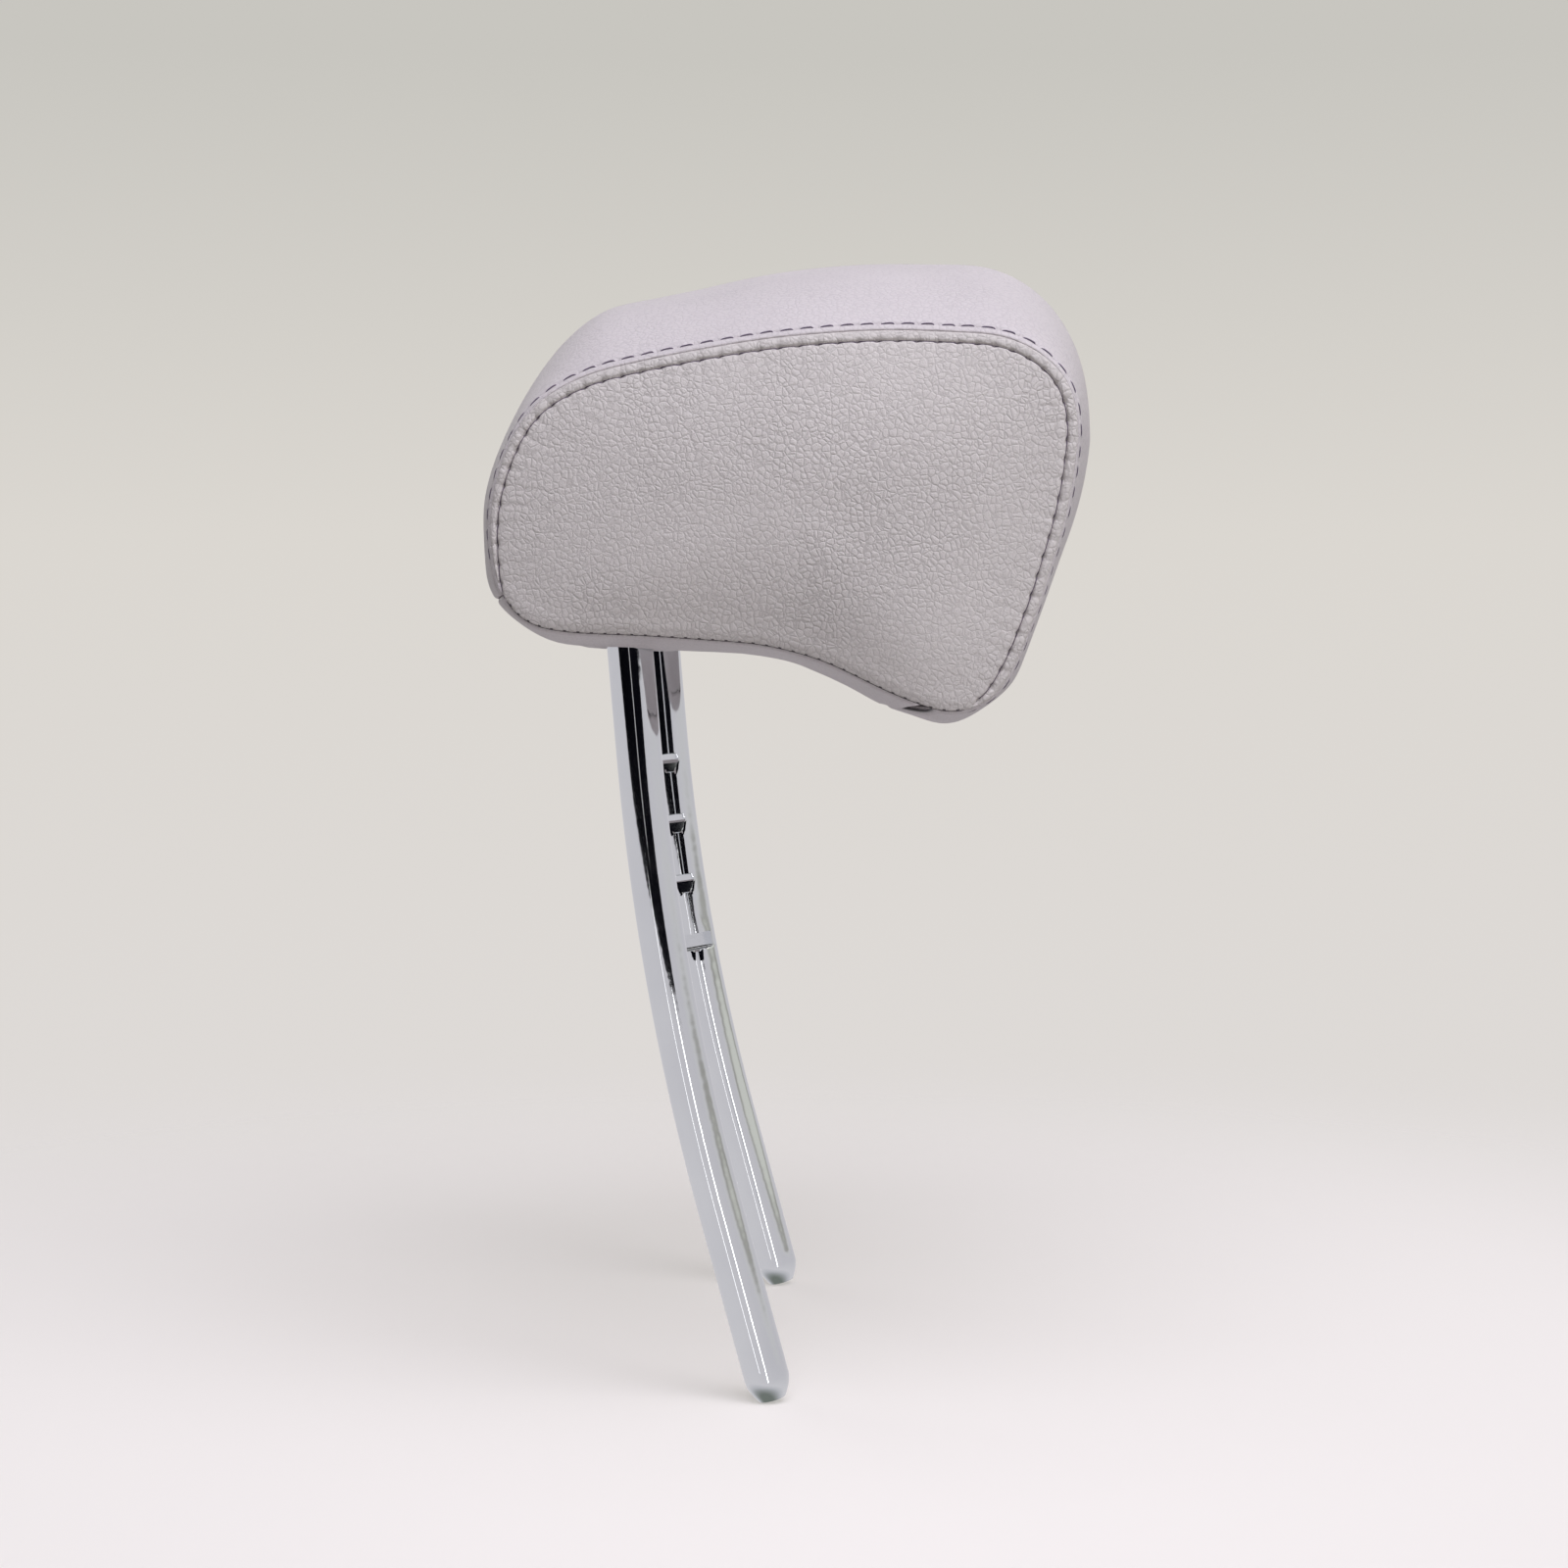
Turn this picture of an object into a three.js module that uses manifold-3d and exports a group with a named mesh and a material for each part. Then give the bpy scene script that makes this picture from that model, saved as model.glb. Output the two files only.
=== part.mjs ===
// Car headrest: a leather-covered foam pad on one bent steel bar with two chromed posts.
// Millimetres. +Z is up, -Y points to the head that leans on it, +X runs along the seat back.
// The origin lies midway between the centres of the two post ends.

import * as THREE from 'three';
import { mergeVertices } from 'three/addons/utils/BufferGeometryUtils.js';
import Module from 'manifold-3d';

const wasm = await Module();
wasm.setup();

// Post bar
const postDiameter = 13;
const postSpacing = 150;
const lowerLean = THREE.MathUtils.degToRad(15.1);
const upperLean = THREE.MathUtils.degToRad(4.8);
const lowerStraight = 57;
const postBendRadius = 740;
const crossbarHeight = 266;
const shoulderRadius = 24;
const tipFlatDiameter = 8;
const tipTaperLength = 6.5;
const barSides = 20;

// Height notches on one post
const topNotchStation = 180.5;
const notchPitch = 20;
const latchNotchCount = 3;
const latchNotchDepth = 0.75;
const latchToeDepth = 0.3;
const latchNotchHeight = 6;
const latchRootHeight = 2;
const stopNotchDepth = 2.9;
const stopNotchHeight = 5.2;

// Pad outline at the side seams, as corners of [y, height above the crossbar, corner radius]
const rearBottomCorner = [74.2, -44, 16];
const rearTopCorner = [75.1, 20, 40];
const topCrestCorner = [-11, 37.3, 260];
const frontTopCorner = [-83.7, 36.5, 27];
const frontBellyCorner = [-80.7, -6, 110];
const noseCorner = [-57.5, -69.7, 13.5];
const hollowCorner = [-6.2, -48.4, 70];
const panelCentre = [-7, -10];

// Pad crown and cover
const seamSpan = 236;
const sideCrown = 7;
const topCrown = 25.5;
const frontCrown = 10.5;
const rearCrown = 9.5;
const undersideCrown = 6;
const noseCrown = 8;
const noseRise = 30;
const crownFullness = 2.2;
const crownSoftness = 0.75;
const frontTopBlend = 2;
const edgeBlend = 3;
const coverThickness = 2.5;
const rearSeamRise = 9;

// Plastic core clamped on the bar
const coreHalfDepth = 11;
const coreWall = 2.4;
const coreSideMargin = 12;
const coreTopMargin = 7;
const coreDrop = 42;
const coreCornerRadius = 9;
const saddleRibThickness = 4;
const saddleRibSpacing = 34;
const saddleRibPlaces = [-1, 0, 1];

// Core screws
const screwDiameter = 3.4;
const screwHeadDiameter = 7;
const screwHeadHeight = 2.2;
const screwLength = 15;
const screwColumnSpacing = 96;
const screwRowSpacing = 20;
const topScrewDrop = 15;
const bossWall = 2.8;

// Closure strips under the nose
const closureStation = 24;
const stripSpan = 184;
const stripThickness = 1.2;
const stripFlange = 7.5;
const stripHookHeight = 3.4;
const stripHookPlay = 0.4;
const stripLegPlay = 1.6;

// Shared clearance between neighbours, and reach of the cutting solids
const fitGap = 0.3;
const cutReach = 400;

const leatherLight = new THREE.Color(0.74, 0.71, 0.73);
const leatherSide = new THREE.Color(0.7, 0.68, 0.69);

const materials = {
  chrome: new THREE.MeshStandardMaterial({ color: 0xd8dade, roughness: 0.08, metalness: 1 }),
  bandLeather: new THREE.MeshStandardMaterial({ color: leatherLight, roughness: 0.55 }),
  sideLeather: new THREE.MeshStandardMaterial({ color: leatherSide, roughness: 0.58 }),
  foam: new THREE.MeshStandardMaterial({ color: 0xcfc7a8, roughness: 0.95 }),
  corePlastic: new THREE.MeshStandardMaterial({ color: 0x26282a, roughness: 0.6 }),
  stripPlastic: new THREE.MeshStandardMaterial({ color: 0x8c8e90, roughness: 0.5 }),
  screwSteel: new THREE.MeshStandardMaterial({ color: 0xa9abad, roughness: 0.35, metalness: 1 }),
};

// Conversions between three.js geometry and exact solids

function solidFrom(geometry) {
  const bare = geometry.clone();
  bare.deleteAttribute('normal');
  bare.deleteAttribute('uv');
  const merged = mergeVertices(bare, 1e-4);
  return new wasm.Manifold(new wasm.Mesh({
    numProp: 3,
    vertProperties: new Float32Array(merged.attributes.position.array),
    triVerts: new Uint32Array(merged.index.array),
  }));
}

function geometryFrom(solid) {
  const mesh = solid.getMesh();
  const geometry = new THREE.BufferGeometry();
  geometry.setAttribute('position', new THREE.BufferAttribute(mesh.vertProperties, 3));
  geometry.setIndex(new THREE.BufferAttribute(mesh.triVerts, 1));
  geometry.computeVertexNormals();
  return geometry;
}

function moved(geometry, matrix) {
  return solidFrom(geometry.clone().applyMatrix4(matrix));
}

// A closed skin over rings of equal point count, with a fan over each end
function loft(rings, firstPole, lastPole) {
  const count = rings[0].length;
  const positions = [];
  const index = [];
  rings.forEach((ring) => ring.forEach((point) => positions.push(point.x, point.y, point.z)));
  const firstIndex = rings.length * count;
  const lastIndex = firstIndex + 1;
  positions.push(firstPole.x, firstPole.y, firstPole.z, lastPole.x, lastPole.y, lastPole.z);
  const lastStart = (rings.length - 1) * count;
  for (let i = 0; i < count; i += 1) {
    const next = (i + 1) % count;
    for (let row = 0; row < rings.length - 1; row += 1) {
      const a = row * count;
      const b = a + count;
      index.push(a + i, a + next, b + next, a + i, b + next, b + i);
    }
    index.push(firstIndex, next, i);
    index.push(lastIndex, lastStart + i, lastStart + next);
  }
  const geometry = new THREE.BufferGeometry();
  geometry.setAttribute('position', new THREE.Float32BufferAttribute(positions, 3));
  geometry.setIndex(index);
  return geometry;
}

// Post bar: two leaning posts joined by a crossbar

const upDirection = (lean) => new THREE.Vector3(0, Math.sin(lean), Math.cos(lean));
const rearDirection = (lean) => new THREE.Vector3(0, Math.cos(lean), -Math.sin(lean));

const bendLength = postBendRadius * (lowerLean - upperLean);

// Point and lean of the post's axis at a distance along it from its end
function postAxis(station) {
  const point = upDirection(lowerLean).multiplyScalar(Math.min(station, lowerStraight));
  if (station <= lowerStraight) {
    return { point, lean: lowerLean };
  }
  const bent = Math.min(station - lowerStraight, bendLength);
  const lean = lowerLean - bent / postBendRadius;
  point.y += postBendRadius * (Math.cos(lean) - Math.cos(lowerLean));
  point.z += postBendRadius * (Math.sin(lowerLean) - Math.sin(lean));
  const straight = Math.max(station - lowerStraight - bendLength, 0);
  point.addScaledVector(upDirection(lean), straight);
  return { point, lean };
}

const bendEnd = postAxis(lowerStraight + bendLength);
const upperStraight = (crossbarHeight - bendEnd.point.z) / Math.cos(upperLean) - shoulderRadius;
const shoulderStation = lowerStraight + bendLength + upperStraight;
const crossbarCentre = postAxis(shoulderStation + shoulderRadius).point;

function tipRadius(station) {
  const flat = tipFlatDiameter / 2;
  const full = postDiameter / 2;
  const reach = Math.min(station / tipTaperLength, 1);
  return flat + (full - flat) * Math.sin((reach * Math.PI) / 2);
}

// Places along one half of the bar, from the post's end to the crossbar's middle
function halfBarPlaces(extraRadius) {
  const places = [];
  const bendSteps = 7;
  const shoulderSteps = 6;
  const stations = [0, 0.33, 0.66, 1].map((share) => share * tipTaperLength);
  for (let step = 0; step <= bendSteps; step += 1) {
    stations.push(lowerStraight + (bendLength * step) / bendSteps);
  }
  stations.forEach((station) => {
    const { point, lean } = postAxis(station);
    places.push({
      point: point.setX(-postSpacing / 2),
      along: upDirection(lean),
      across: rearDirection(lean),
      radius: tipRadius(station) + extraRadius,
    });
  });
  const corner = postAxis(shoulderStation).point.setX(-postSpacing / 2);
  const up = upDirection(upperLean);
  for (let step = 0; step <= shoulderSteps; step += 1) {
    const turn = ((Math.PI / 2) * step) / shoulderSteps;
    const point = corner.clone().addScaledVector(up, shoulderRadius * Math.sin(turn));
    point.x += shoulderRadius * (1 - Math.cos(turn));
    const along = up.clone().multiplyScalar(Math.cos(turn));
    along.x += Math.sin(turn);
    const radius = postDiameter / 2 + extraRadius;
    places.push({ point, along, across: rearDirection(upperLean), radius });
  }
  return places;
}

function mirroredPlace(place) {
  return {
    ...place,
    point: place.point.clone().setX(-place.point.x),
    along: new THREE.Vector3(place.along.x, -place.along.y, -place.along.z),
  };
}

function barRing(place) {
  const side = new THREE.Vector3().crossVectors(place.along, place.across);
  const ring = [];
  for (let i = 0; i < barSides; i += 1) {
    const angle = (2 * Math.PI * i) / barSides;
    const point = place.point.clone();
    point.addScaledVector(place.across, place.radius * Math.cos(angle));
    point.addScaledVector(side, place.radius * Math.sin(angle));
    ring.push(point);
  }
  return ring;
}

function barSolid(extraRadius) {
  const left = halfBarPlaces(extraRadius);
  const right = left.map(mirroredPlace).reverse();
  const places = [...left, ...right];
  const first = places[0].point;
  const last = places[places.length - 1].point;
  return solidFrom(loft(places.map(barRing), first, last));
}

// A notch cutter: its profile runs inward from the post's inboard face, then down
function notchCutter(station, profile) {
  const { point, lean } = postAxis(station);
  const inboard = new THREE.Vector3(-1, 0, 0);
  const down = upDirection(lean).negate();
  const across = new THREE.Vector3().crossVectors(inboard, down);
  const shape = new THREE.Shape(profile.map(([depth, drop]) => (
    new THREE.Vector2(postDiameter / 2 - depth, drop))));
  const geometry = new THREE.ExtrudeGeometry(shape, {
    depth: postDiameter * 2,
    bevelEnabled: false,
  });
  geometry.translate(0, 0, -postDiameter);
  const matrix = new THREE.Matrix4().makeBasis(inboard, down, across);
  matrix.setPosition(postSpacing / 2, point.y, point.z);
  return moved(geometry, matrix);
}

// Latch notch: square upper shoulder and a gentle ramp below, so the post ratchets upwards only
function latchCutter(station) {
  const clear = -postDiameter / 4;
  return notchCutter(station, [
    [clear, 0],
    [latchNotchDepth, 0],
    [latchNotchDepth, latchRootHeight],
    [latchToeDepth, latchNotchHeight],
    [clear, latchNotchHeight],
  ]);
}

// Stop notch: square at both ends, so the post can't leave its sleeve by itself
function stopCutter(station) {
  const clear = -postDiameter / 4;
  return notchCutter(station, [
    [clear, 0],
    [stopNotchDepth, 0],
    [stopNotchDepth, stopNotchHeight],
    [clear, stopNotchHeight],
  ]);
}

function postBar() {
  let bar = barSolid(0);
  for (let i = 0; i < latchNotchCount; i += 1) {
    bar = bar.subtract(latchCutter(topNotchStation - i * notchPitch));
  }
  return bar.subtract(stopCutter(topNotchStation - latchNotchCount * notchPitch));
}

// Pad form: one outline at each side seam, crowned between the seams and over the sides

const outlineCorners = [
  rearBottomCorner,
  rearTopCorner,
  topCrestCorner,
  frontTopCorner,
  frontBellyCorner,
  noseCorner,
  hollowCorner,
];
const arcStep = THREE.MathUtils.degToRad(16);
const longestSpan = 24;

// The place of an outline corner, whose height is measured from the crossbar
const padPoint = ([y, rise]) => new THREE.Vector2(y, crossbarHeight + rise);

// Centre, ends and sweep of the arc that rounds one corner of the outline
function cornerArc(i) {
  const count = outlineCorners.length;
  const at = (place) => padPoint(outlineCorners[(place + count) % count]);
  const corner = at(i);
  const before = at(i - 1).sub(corner).normalize();
  const after = at(i + 1).sub(corner).normalize();
  const opening = Math.acos(THREE.MathUtils.clamp(before.dot(after), -1, 1));
  const radius = outlineCorners[i][2];
  const middle = before.clone().add(after).normalize();
  const tangent = radius / Math.tan(opening / 2);
  return {
    centre: corner.clone().addScaledVector(middle, radius / Math.sin(opening / 2)),
    start: corner.clone().addScaledVector(before, tangent),
    end: corner.clone().addScaledVector(after, tangent),
    hollow: before.cross(after) > 0,
    sweep: Math.PI - opening,
  };
}

// Points and outward directions around the outline, with every corner rounded
function outlinePoints() {
  const arcs = outlineCorners.map((corner, i) => cornerArc(i));
  const points = [];
  arcs.forEach((arc, i) => {
    const from = arc.start.clone().sub(arc.centre);
    const turn = arc.sweep * (arc.hollow ? -1 : 1);
    const steps = Math.max(1, Math.ceil(arc.sweep / arcStep));
    let normal;
    for (let step = 0; step <= steps; step += 1) {
      const spoke = from.clone().rotateAround(new THREE.Vector2(), (turn * step) / steps);
      normal = spoke.clone().normalize().multiplyScalar(arc.hollow ? -1 : 1);
      points.push({ point: arc.centre.clone().add(spoke), normal });
    }
    const next = arcs[(i + 1) % arcs.length].start;
    const spans = Math.ceil(arc.end.distanceTo(next) / longestSpan);
    for (let span = 1; span < spans; span += 1) {
      points.push({ point: arc.end.clone().lerp(next, span / spans), normal });
    }
  });
  return points;
}

const seamOutline = outlinePoints();

// Full height of the crown over one outline point, along its outward direction
function crownAlong(point, normal) {
  const blend = normal.x < 0 && normal.y > 0 ? frontTopBlend : edgeBlend;
  const pastHollow = (hollowCorner[0] - point.x) / noseRise + 0.5;
  const below = THREE.MathUtils.lerp(
    undersideCrown, noseCrown, THREE.MathUtils.clamp(pastHollow, 0, 1));
  const top = topCrown * Math.max(normal.y, 0) ** blend;
  const underside = below * Math.max(-normal.y, 0) ** blend;
  const rear = rearCrown * Math.max(normal.x, 0) ** blend;
  const front = frontCrown * Math.max(-normal.x, 0) ** blend;
  return top + underside + rear + front;
}

// Stations across the band, closer together near the side seams
const bandSteps = 10;
const bandStations = Array.from({ length: bandSteps + 1 }, (unused, step) => {
  const across = Math.sin((Math.PI / 2) * ((2 * step) / bandSteps - 1));
  const share = Math.max(1 - Math.abs(across) ** crownFullness, 0) ** crownSoftness;
  return { x: (across * seamSpan) / 2, share };
});

// Share of the full crown at any distance across, straight between the stations
function crownShareAt(x) {
  const after = bandStations.findIndex((station) => station.x > x);
  const high = bandStations[after];
  const low = bandStations[after - 1];
  return low.share + ((high.share - low.share) * (x - low.x)) / (high.x - low.x);
}

function padRing(x, share, inset) {
  return seamOutline.map(({ point, normal }) => {
    const reach = crownAlong(point, normal) * share - inset;
    return new THREE.Vector3(x, point.x + normal.x * reach, point.y + normal.y * reach);
  });
}

// The pad's closed form, set in by one inset all over
function padSolid(inset) {
  const sideScales = [0.32, 0.62, 0.86];
  const halfSeam = seamSpan / 2 - inset;
  const middle = padPoint(panelCentre);
  const centre = (x) => new THREE.Vector3(x, middle.x, middle.y);
  const sideRings = (side) => sideScales.map((scale) => {
    const x = side * (halfSeam + sideCrown * (1 - scale ** crownFullness));
    return padRing(x, 0, inset).map((point) => centre(x).lerp(point, scale));
  });
  const bandRings = bandStations.map(({ x, share }) => (
    padRing(THREE.MathUtils.clamp(x, -halfSeam, halfSeam), share, inset)));
  const rings = [...sideRings(-1), ...bandRings, ...sideRings(1).reverse()];
  const pole = halfSeam + sideCrown;
  return solidFrom(loft(rings, centre(-pole), centre(pole)));
}

// A block across the whole pad with an outline of [y, z] points
function acrossBlock(outline) {
  const shape = new THREE.Shape(outline.map(({ x, y }) => new THREE.Vector2(x, y)));
  const geometry = new THREE.ExtrudeGeometry(shape, { depth: cutReach, bevelEnabled: false });
  const matrix = new THREE.Matrix4().makeBasis(
    new THREE.Vector3(0, 1, 0),
    new THREE.Vector3(0, 0, 1),
    new THREE.Vector3(1, 0, 0),
  );
  matrix.setPosition(-cutReach / 2, 0, 0);
  return moved(geometry, matrix);
}

// Closure at the nose: where it lies on the underside, and the frame of its strips

const noseEnd = padPoint(noseCorner);
const rearward = padPoint(hollowCorner).sub(noseEnd).normalize();
const outward = new THREE.Vector2(rearward.y, -rearward.x);
const closureBase = noseEnd.clone().addScaledVector(rearward, closureStation);

// A strip that follows the cover's inside, from a profile of [rearward, inward] points
function stripSolid(profile, halfSpan) {
  const inside = bandStations.filter(({ x }) => Math.abs(x) < halfSpan).map(({ x }) => x);
  const stations = [-halfSpan, ...inside, halfSpan];
  const shape = new THREE.Shape(profile.map(([along, inward]) => (
    new THREE.Vector2(along, inward))));
  const steps = stations.length - 1;
  const geometry = new THREE.ExtrudeGeometry(shape, { depth: steps, steps, bevelEnabled: false });
  const { position } = geometry.attributes;
  const crown = crownAlong(closureBase, outward);
  for (let i = 0; i < position.count; i += 1) {
    const x = stations[Math.round(position.getZ(i))];
    const drop = crown * crownShareAt(x) - coverThickness - fitGap - position.getY(i);
    const place = closureBase.clone();
    place.addScaledVector(rearward, position.getX(i)).addScaledVector(outward, drop);
    position.setXYZ(i, x, place.x, place.y);
  }
  return solidFrom(geometry);
}

// Levels and places that the two hooked strips share
const hookFace = stripThickness;
const hookOver = stripHookHeight + stripHookPlay;
const upperLevel = hookOver + stripThickness;
const upperHookFace = hookFace - stripHookPlay;
const legFace = hookFace + stripThickness + stripLegPlay;
const bandFlangeEnd = -stripFlange;
const undersideFlangeEnd = legFace + stripFlange;

const bandStripProfile = [
  [bandFlangeEnd, 0],
  [hookFace + stripThickness, 0],
  [hookFace + stripThickness, stripHookHeight],
  [hookFace, stripHookHeight],
  [hookFace, stripThickness],
  [bandFlangeEnd, stripThickness],
];

const undersideStripProfile = [
  [upperHookFace - stripThickness, stripThickness + stripHookPlay],
  [upperHookFace, stripThickness + stripHookPlay],
  [upperHookFace, hookOver],
  [legFace, hookOver],
  [legFace, 0],
  [undersideFlangeEnd, 0],
  [undersideFlangeEnd, stripThickness],
  [legFace + stripThickness, stripThickness],
  [legFace + stripThickness, upperLevel],
  [upperHookFace - stripThickness, upperLevel],
];

// The room that the foam leaves for both strips
const stripPocketProfile = [
  [bandFlangeEnd - fitGap, -coverThickness],
  [undersideFlangeEnd + fitGap, -coverThickness],
  [undersideFlangeEnd + fitGap, upperLevel + fitGap],
  [bandFlangeEnd - fitGap, upperLevel + fitGap],
];

// Cover: two side panels, one band over the rear, top and front, and one underside panel

const seamReach = 24;
const rearOutlineY = Math.max(...seamOutline.map(({ point }) => point.x));
const noseSeam = { at: closureBase, inward: outward.clone().negate(), side: 1 };
const rearSeam = {
  at: new THREE.Vector2(rearOutlineY, padPoint(rearBottomCorner).y + rearSeamRise),
  inward: new THREE.Vector2(-1, 0),
  side: -1,
};

// The space of the underside panel between its two cross seams, grown past them
function undersideRegion(growth) {
  const seamPoint = ({ at, inward, side }, distance) => {
    const past = new THREE.Vector2(-inward.y, inward.x).multiplyScalar(side * growth);
    return at.clone().addScaledVector(inward, distance).add(past);
  };
  const belowNose = seamPoint(noseSeam, -seamReach);
  const behindRear = seamPoint(rearSeam, -seamReach);
  return acrossBlock([
    belowNose,
    new THREE.Vector2(behindRear.x, belowNose.y),
    behindRear,
    seamPoint(rearSeam, seamReach),
    seamPoint(noseSeam, seamReach),
  ]);
}

function coverPanels() {
  const shell = padSolid(0).subtract(padSolid(coverThickness));
  const seamPlane = seamSpan / 2 - coverThickness / 2;
  const slab = (from, to) => {
    const box = new THREE.BoxGeometry(to - from, cutReach, cutReach);
    box.translate((from + to) / 2, 0, crossbarHeight);
    return shell.intersect(solidFrom(box));
  };
  const middle = slab(-seamPlane + fitGap / 2, seamPlane - fitGap / 2);
  return {
    left: slab(-cutReach, -seamPlane - fitGap / 2),
    right: slab(seamPlane + fitGap / 2, cutReach),
    band: middle.subtract(undersideRegion(fitGap)),
    underside: middle.intersect(undersideRegion(0)).subtract(barSolid(fitGap)),
  };
}

// Core: two half shells that clamp the crossbar, in the plane of the posts

const coreWidth = postSpacing + postDiameter + 2 * coreSideMargin;
const coreTop = postDiameter / 2 + coreTopMargin;
const coreGroup = new THREE.Group();
coreGroup.position.copy(crossbarCentre);
coreGroup.rotation.x = -upperLean;
coreGroup.updateMatrix();

// A plate with rounded corners, across and up, between two depths
function roundedPlate(halfWidth, low, high, radius, depthFrom, depthTo) {
  const shape = new THREE.Shape();
  shape.moveTo(-halfWidth + radius, low);
  shape.absarc(halfWidth - radius, low + radius, radius, -Math.PI / 2, 0);
  shape.absarc(halfWidth - radius, high - radius, radius, 0, Math.PI / 2);
  shape.absarc(-halfWidth + radius, high - radius, radius, Math.PI / 2, Math.PI);
  shape.absarc(-halfWidth + radius, low + radius, radius, Math.PI, 1.5 * Math.PI);
  const depth = depthTo - depthFrom;
  const geometry = new THREE.ExtrudeGeometry(shape, {
    depth,
    bevelEnabled: false,
    curveSegments: 4,
  });
  geometry.rotateX(Math.PI / 2);
  geometry.translate(0, depthTo, 0);
  return solidFrom(geometry);
}

function coreOuter(extra) {
  const depth = coreHalfDepth + extra;
  const low = -coreDrop - extra;
  const high = coreTop + extra;
  return roundedPlate(coreWidth / 2 + extra, low, high, coreCornerRadius + extra, -depth, depth);
}

function rodAlongDepth(diameter, from, to, [x, z]) {
  const geometry = new THREE.CylinderGeometry(diameter / 2, diameter / 2, to - from, 12);
  geometry.translate(x, (from + to) / 2, z);
  return solidFrom(geometry);
}

const screwPlaces = [-1, 1].flatMap((side) => [0, 1].map((row) => (
  [(side * screwColumnSpacing) / 2, -topScrewDrop - row * screwRowSpacing])));
const screwTip = coreHalfDepth - screwHeadHeight - screwLength;
const coreBarCut = barSolid(fitGap).transform(coreGroup.matrix.clone().invert().toArray());

// An open half shell with ribs and screw bosses; facing is 1 at the rear and -1 in front
function coreShellBlank(facing) {
  const parting = fitGap / 2;
  const span = (near, far) => (facing > 0 ? [near, far] : [-far, -near]);
  const outer = span(parting, coreHalfDepth);
  const inner = span(-coreWall, coreHalfDepth - coreWall);
  let shell = roundedPlate(coreWidth / 2, -coreDrop, coreTop, coreCornerRadius, ...outer);
  shell = shell.subtract(roundedPlate(
    coreWidth / 2 - coreWall,
    -coreDrop + coreWall,
    coreTop - coreWall,
    coreCornerRadius - coreWall,
    ...inner,
  ));
  const [ribFrom, ribTo] = span(parting, coreHalfDepth - coreWall / 2);
  saddleRibPlaces.forEach((place) => {
    const height = coreTop + coreDrop - coreWall;
    const rib = new THREE.BoxGeometry(saddleRibThickness, ribTo - ribFrom, height);
    rib.translate(place * saddleRibSpacing, (ribFrom + ribTo) / 2, (coreTop - coreDrop) / 2);
    shell = shell.add(solidFrom(rib));
  });
  screwPlaces.forEach((place) => {
    shell = shell.add(rodAlongDepth(screwDiameter + 2 * bossWall, ribFrom, ribTo, place));
  });
  return shell.subtract(coreBarCut);
}

function coreFrontShell() {
  let shell = coreShellBlank(-1);
  const bore = screwDiameter + 2 * fitGap;
  screwPlaces.forEach((place) => {
    shell = shell.subtract(rodAlongDepth(bore, screwTip - fitGap, coreHalfDepth, place));
  });
  return shell;
}

function coreRearShell() {
  let shell = coreShellBlank(1);
  const bore = screwDiameter + 2 * fitGap;
  const headBore = screwHeadDiameter + 2 * fitGap;
  const headSeat = coreHalfDepth - screwHeadHeight - fitGap;
  screwPlaces.forEach((place) => {
    shell = shell.subtract(rodAlongDepth(bore, -coreHalfDepth, 2 * coreHalfDepth, place));
    shell = shell.subtract(rodAlongDepth(headBore, headSeat, 2 * coreHalfDepth, place));
  });
  return shell;
}

// A pan-head screw with its point at zero and its head at +Y
function screwGeometry() {
  const radius = screwDiameter / 2;
  const head = screwHeadDiameter / 2;
  const profile = [
    [0, 0],
    [radius / 2, 0],
    [radius, radius],
    [radius, screwLength],
    [head, screwLength],
    [head, screwLength + screwHeadHeight / 2],
    [head - screwHeadHeight / 2, screwLength + screwHeadHeight],
    [0, screwLength + screwHeadHeight],
  ].map(([across, along]) => new THREE.Vector2(across, along));
  return geometryFrom(solidFrom(new THREE.LatheGeometry(profile, 12)));
}

function foamBody() {
  const pocket = stripSolid(stripPocketProfile, stripSpan / 2 + fitGap);
  return padSolid(coverThickness + fitGap)
    .subtract(coreOuter(fitGap).transform(coreGroup.matrix.toArray()))
    .subtract(barSolid(fitGap))
    .subtract(pocket);
}

// The assembled headrest

const headrest = new THREE.Group();

function addPiece(group, name, shape, material) {
  const geometry = shape.isBufferGeometry ? shape : geometryFrom(shape);
  const mesh = new THREE.Mesh(geometry, material);
  mesh.name = name;
  group.add(mesh);
  return mesh;
}

addPiece(headrest, 'post_bar', postBar(), materials.chrome);

addPiece(coreGroup, 'core_front_shell', coreFrontShell(), materials.corePlastic);
addPiece(coreGroup, 'core_rear_shell', coreRearShell(), materials.corePlastic);
screwPlaces.forEach(([x, z], i) => {
  const screw = addPiece(coreGroup, `core_screw_${i + 1}`, screwGeometry(), materials.screwSteel);
  screw.position.set(x, screwTip, z);
});
headrest.add(coreGroup);

addPiece(headrest, 'foam_body', foamBody(), materials.foam);

const stripHalf = stripSpan / 2;
const bandStrip = stripSolid(bandStripProfile, stripHalf);
const undersideStrip = stripSolid(undersideStripProfile, stripHalf);
addPiece(headrest, 'closure_strip_band', bandStrip, materials.stripPlastic);
addPiece(headrest, 'closure_strip_underside', undersideStrip, materials.stripPlastic);

const panels = coverPanels();
addPiece(headrest, 'cover_side_left', panels.left, materials.sideLeather);
addPiece(headrest, 'cover_side_right', panels.right, materials.sideLeather);
addPiece(headrest, 'cover_band', panels.band, materials.bandLeather);
addPiece(headrest, 'cover_underside', panels.underside, materials.bandLeather);

export default headrest;
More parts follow.
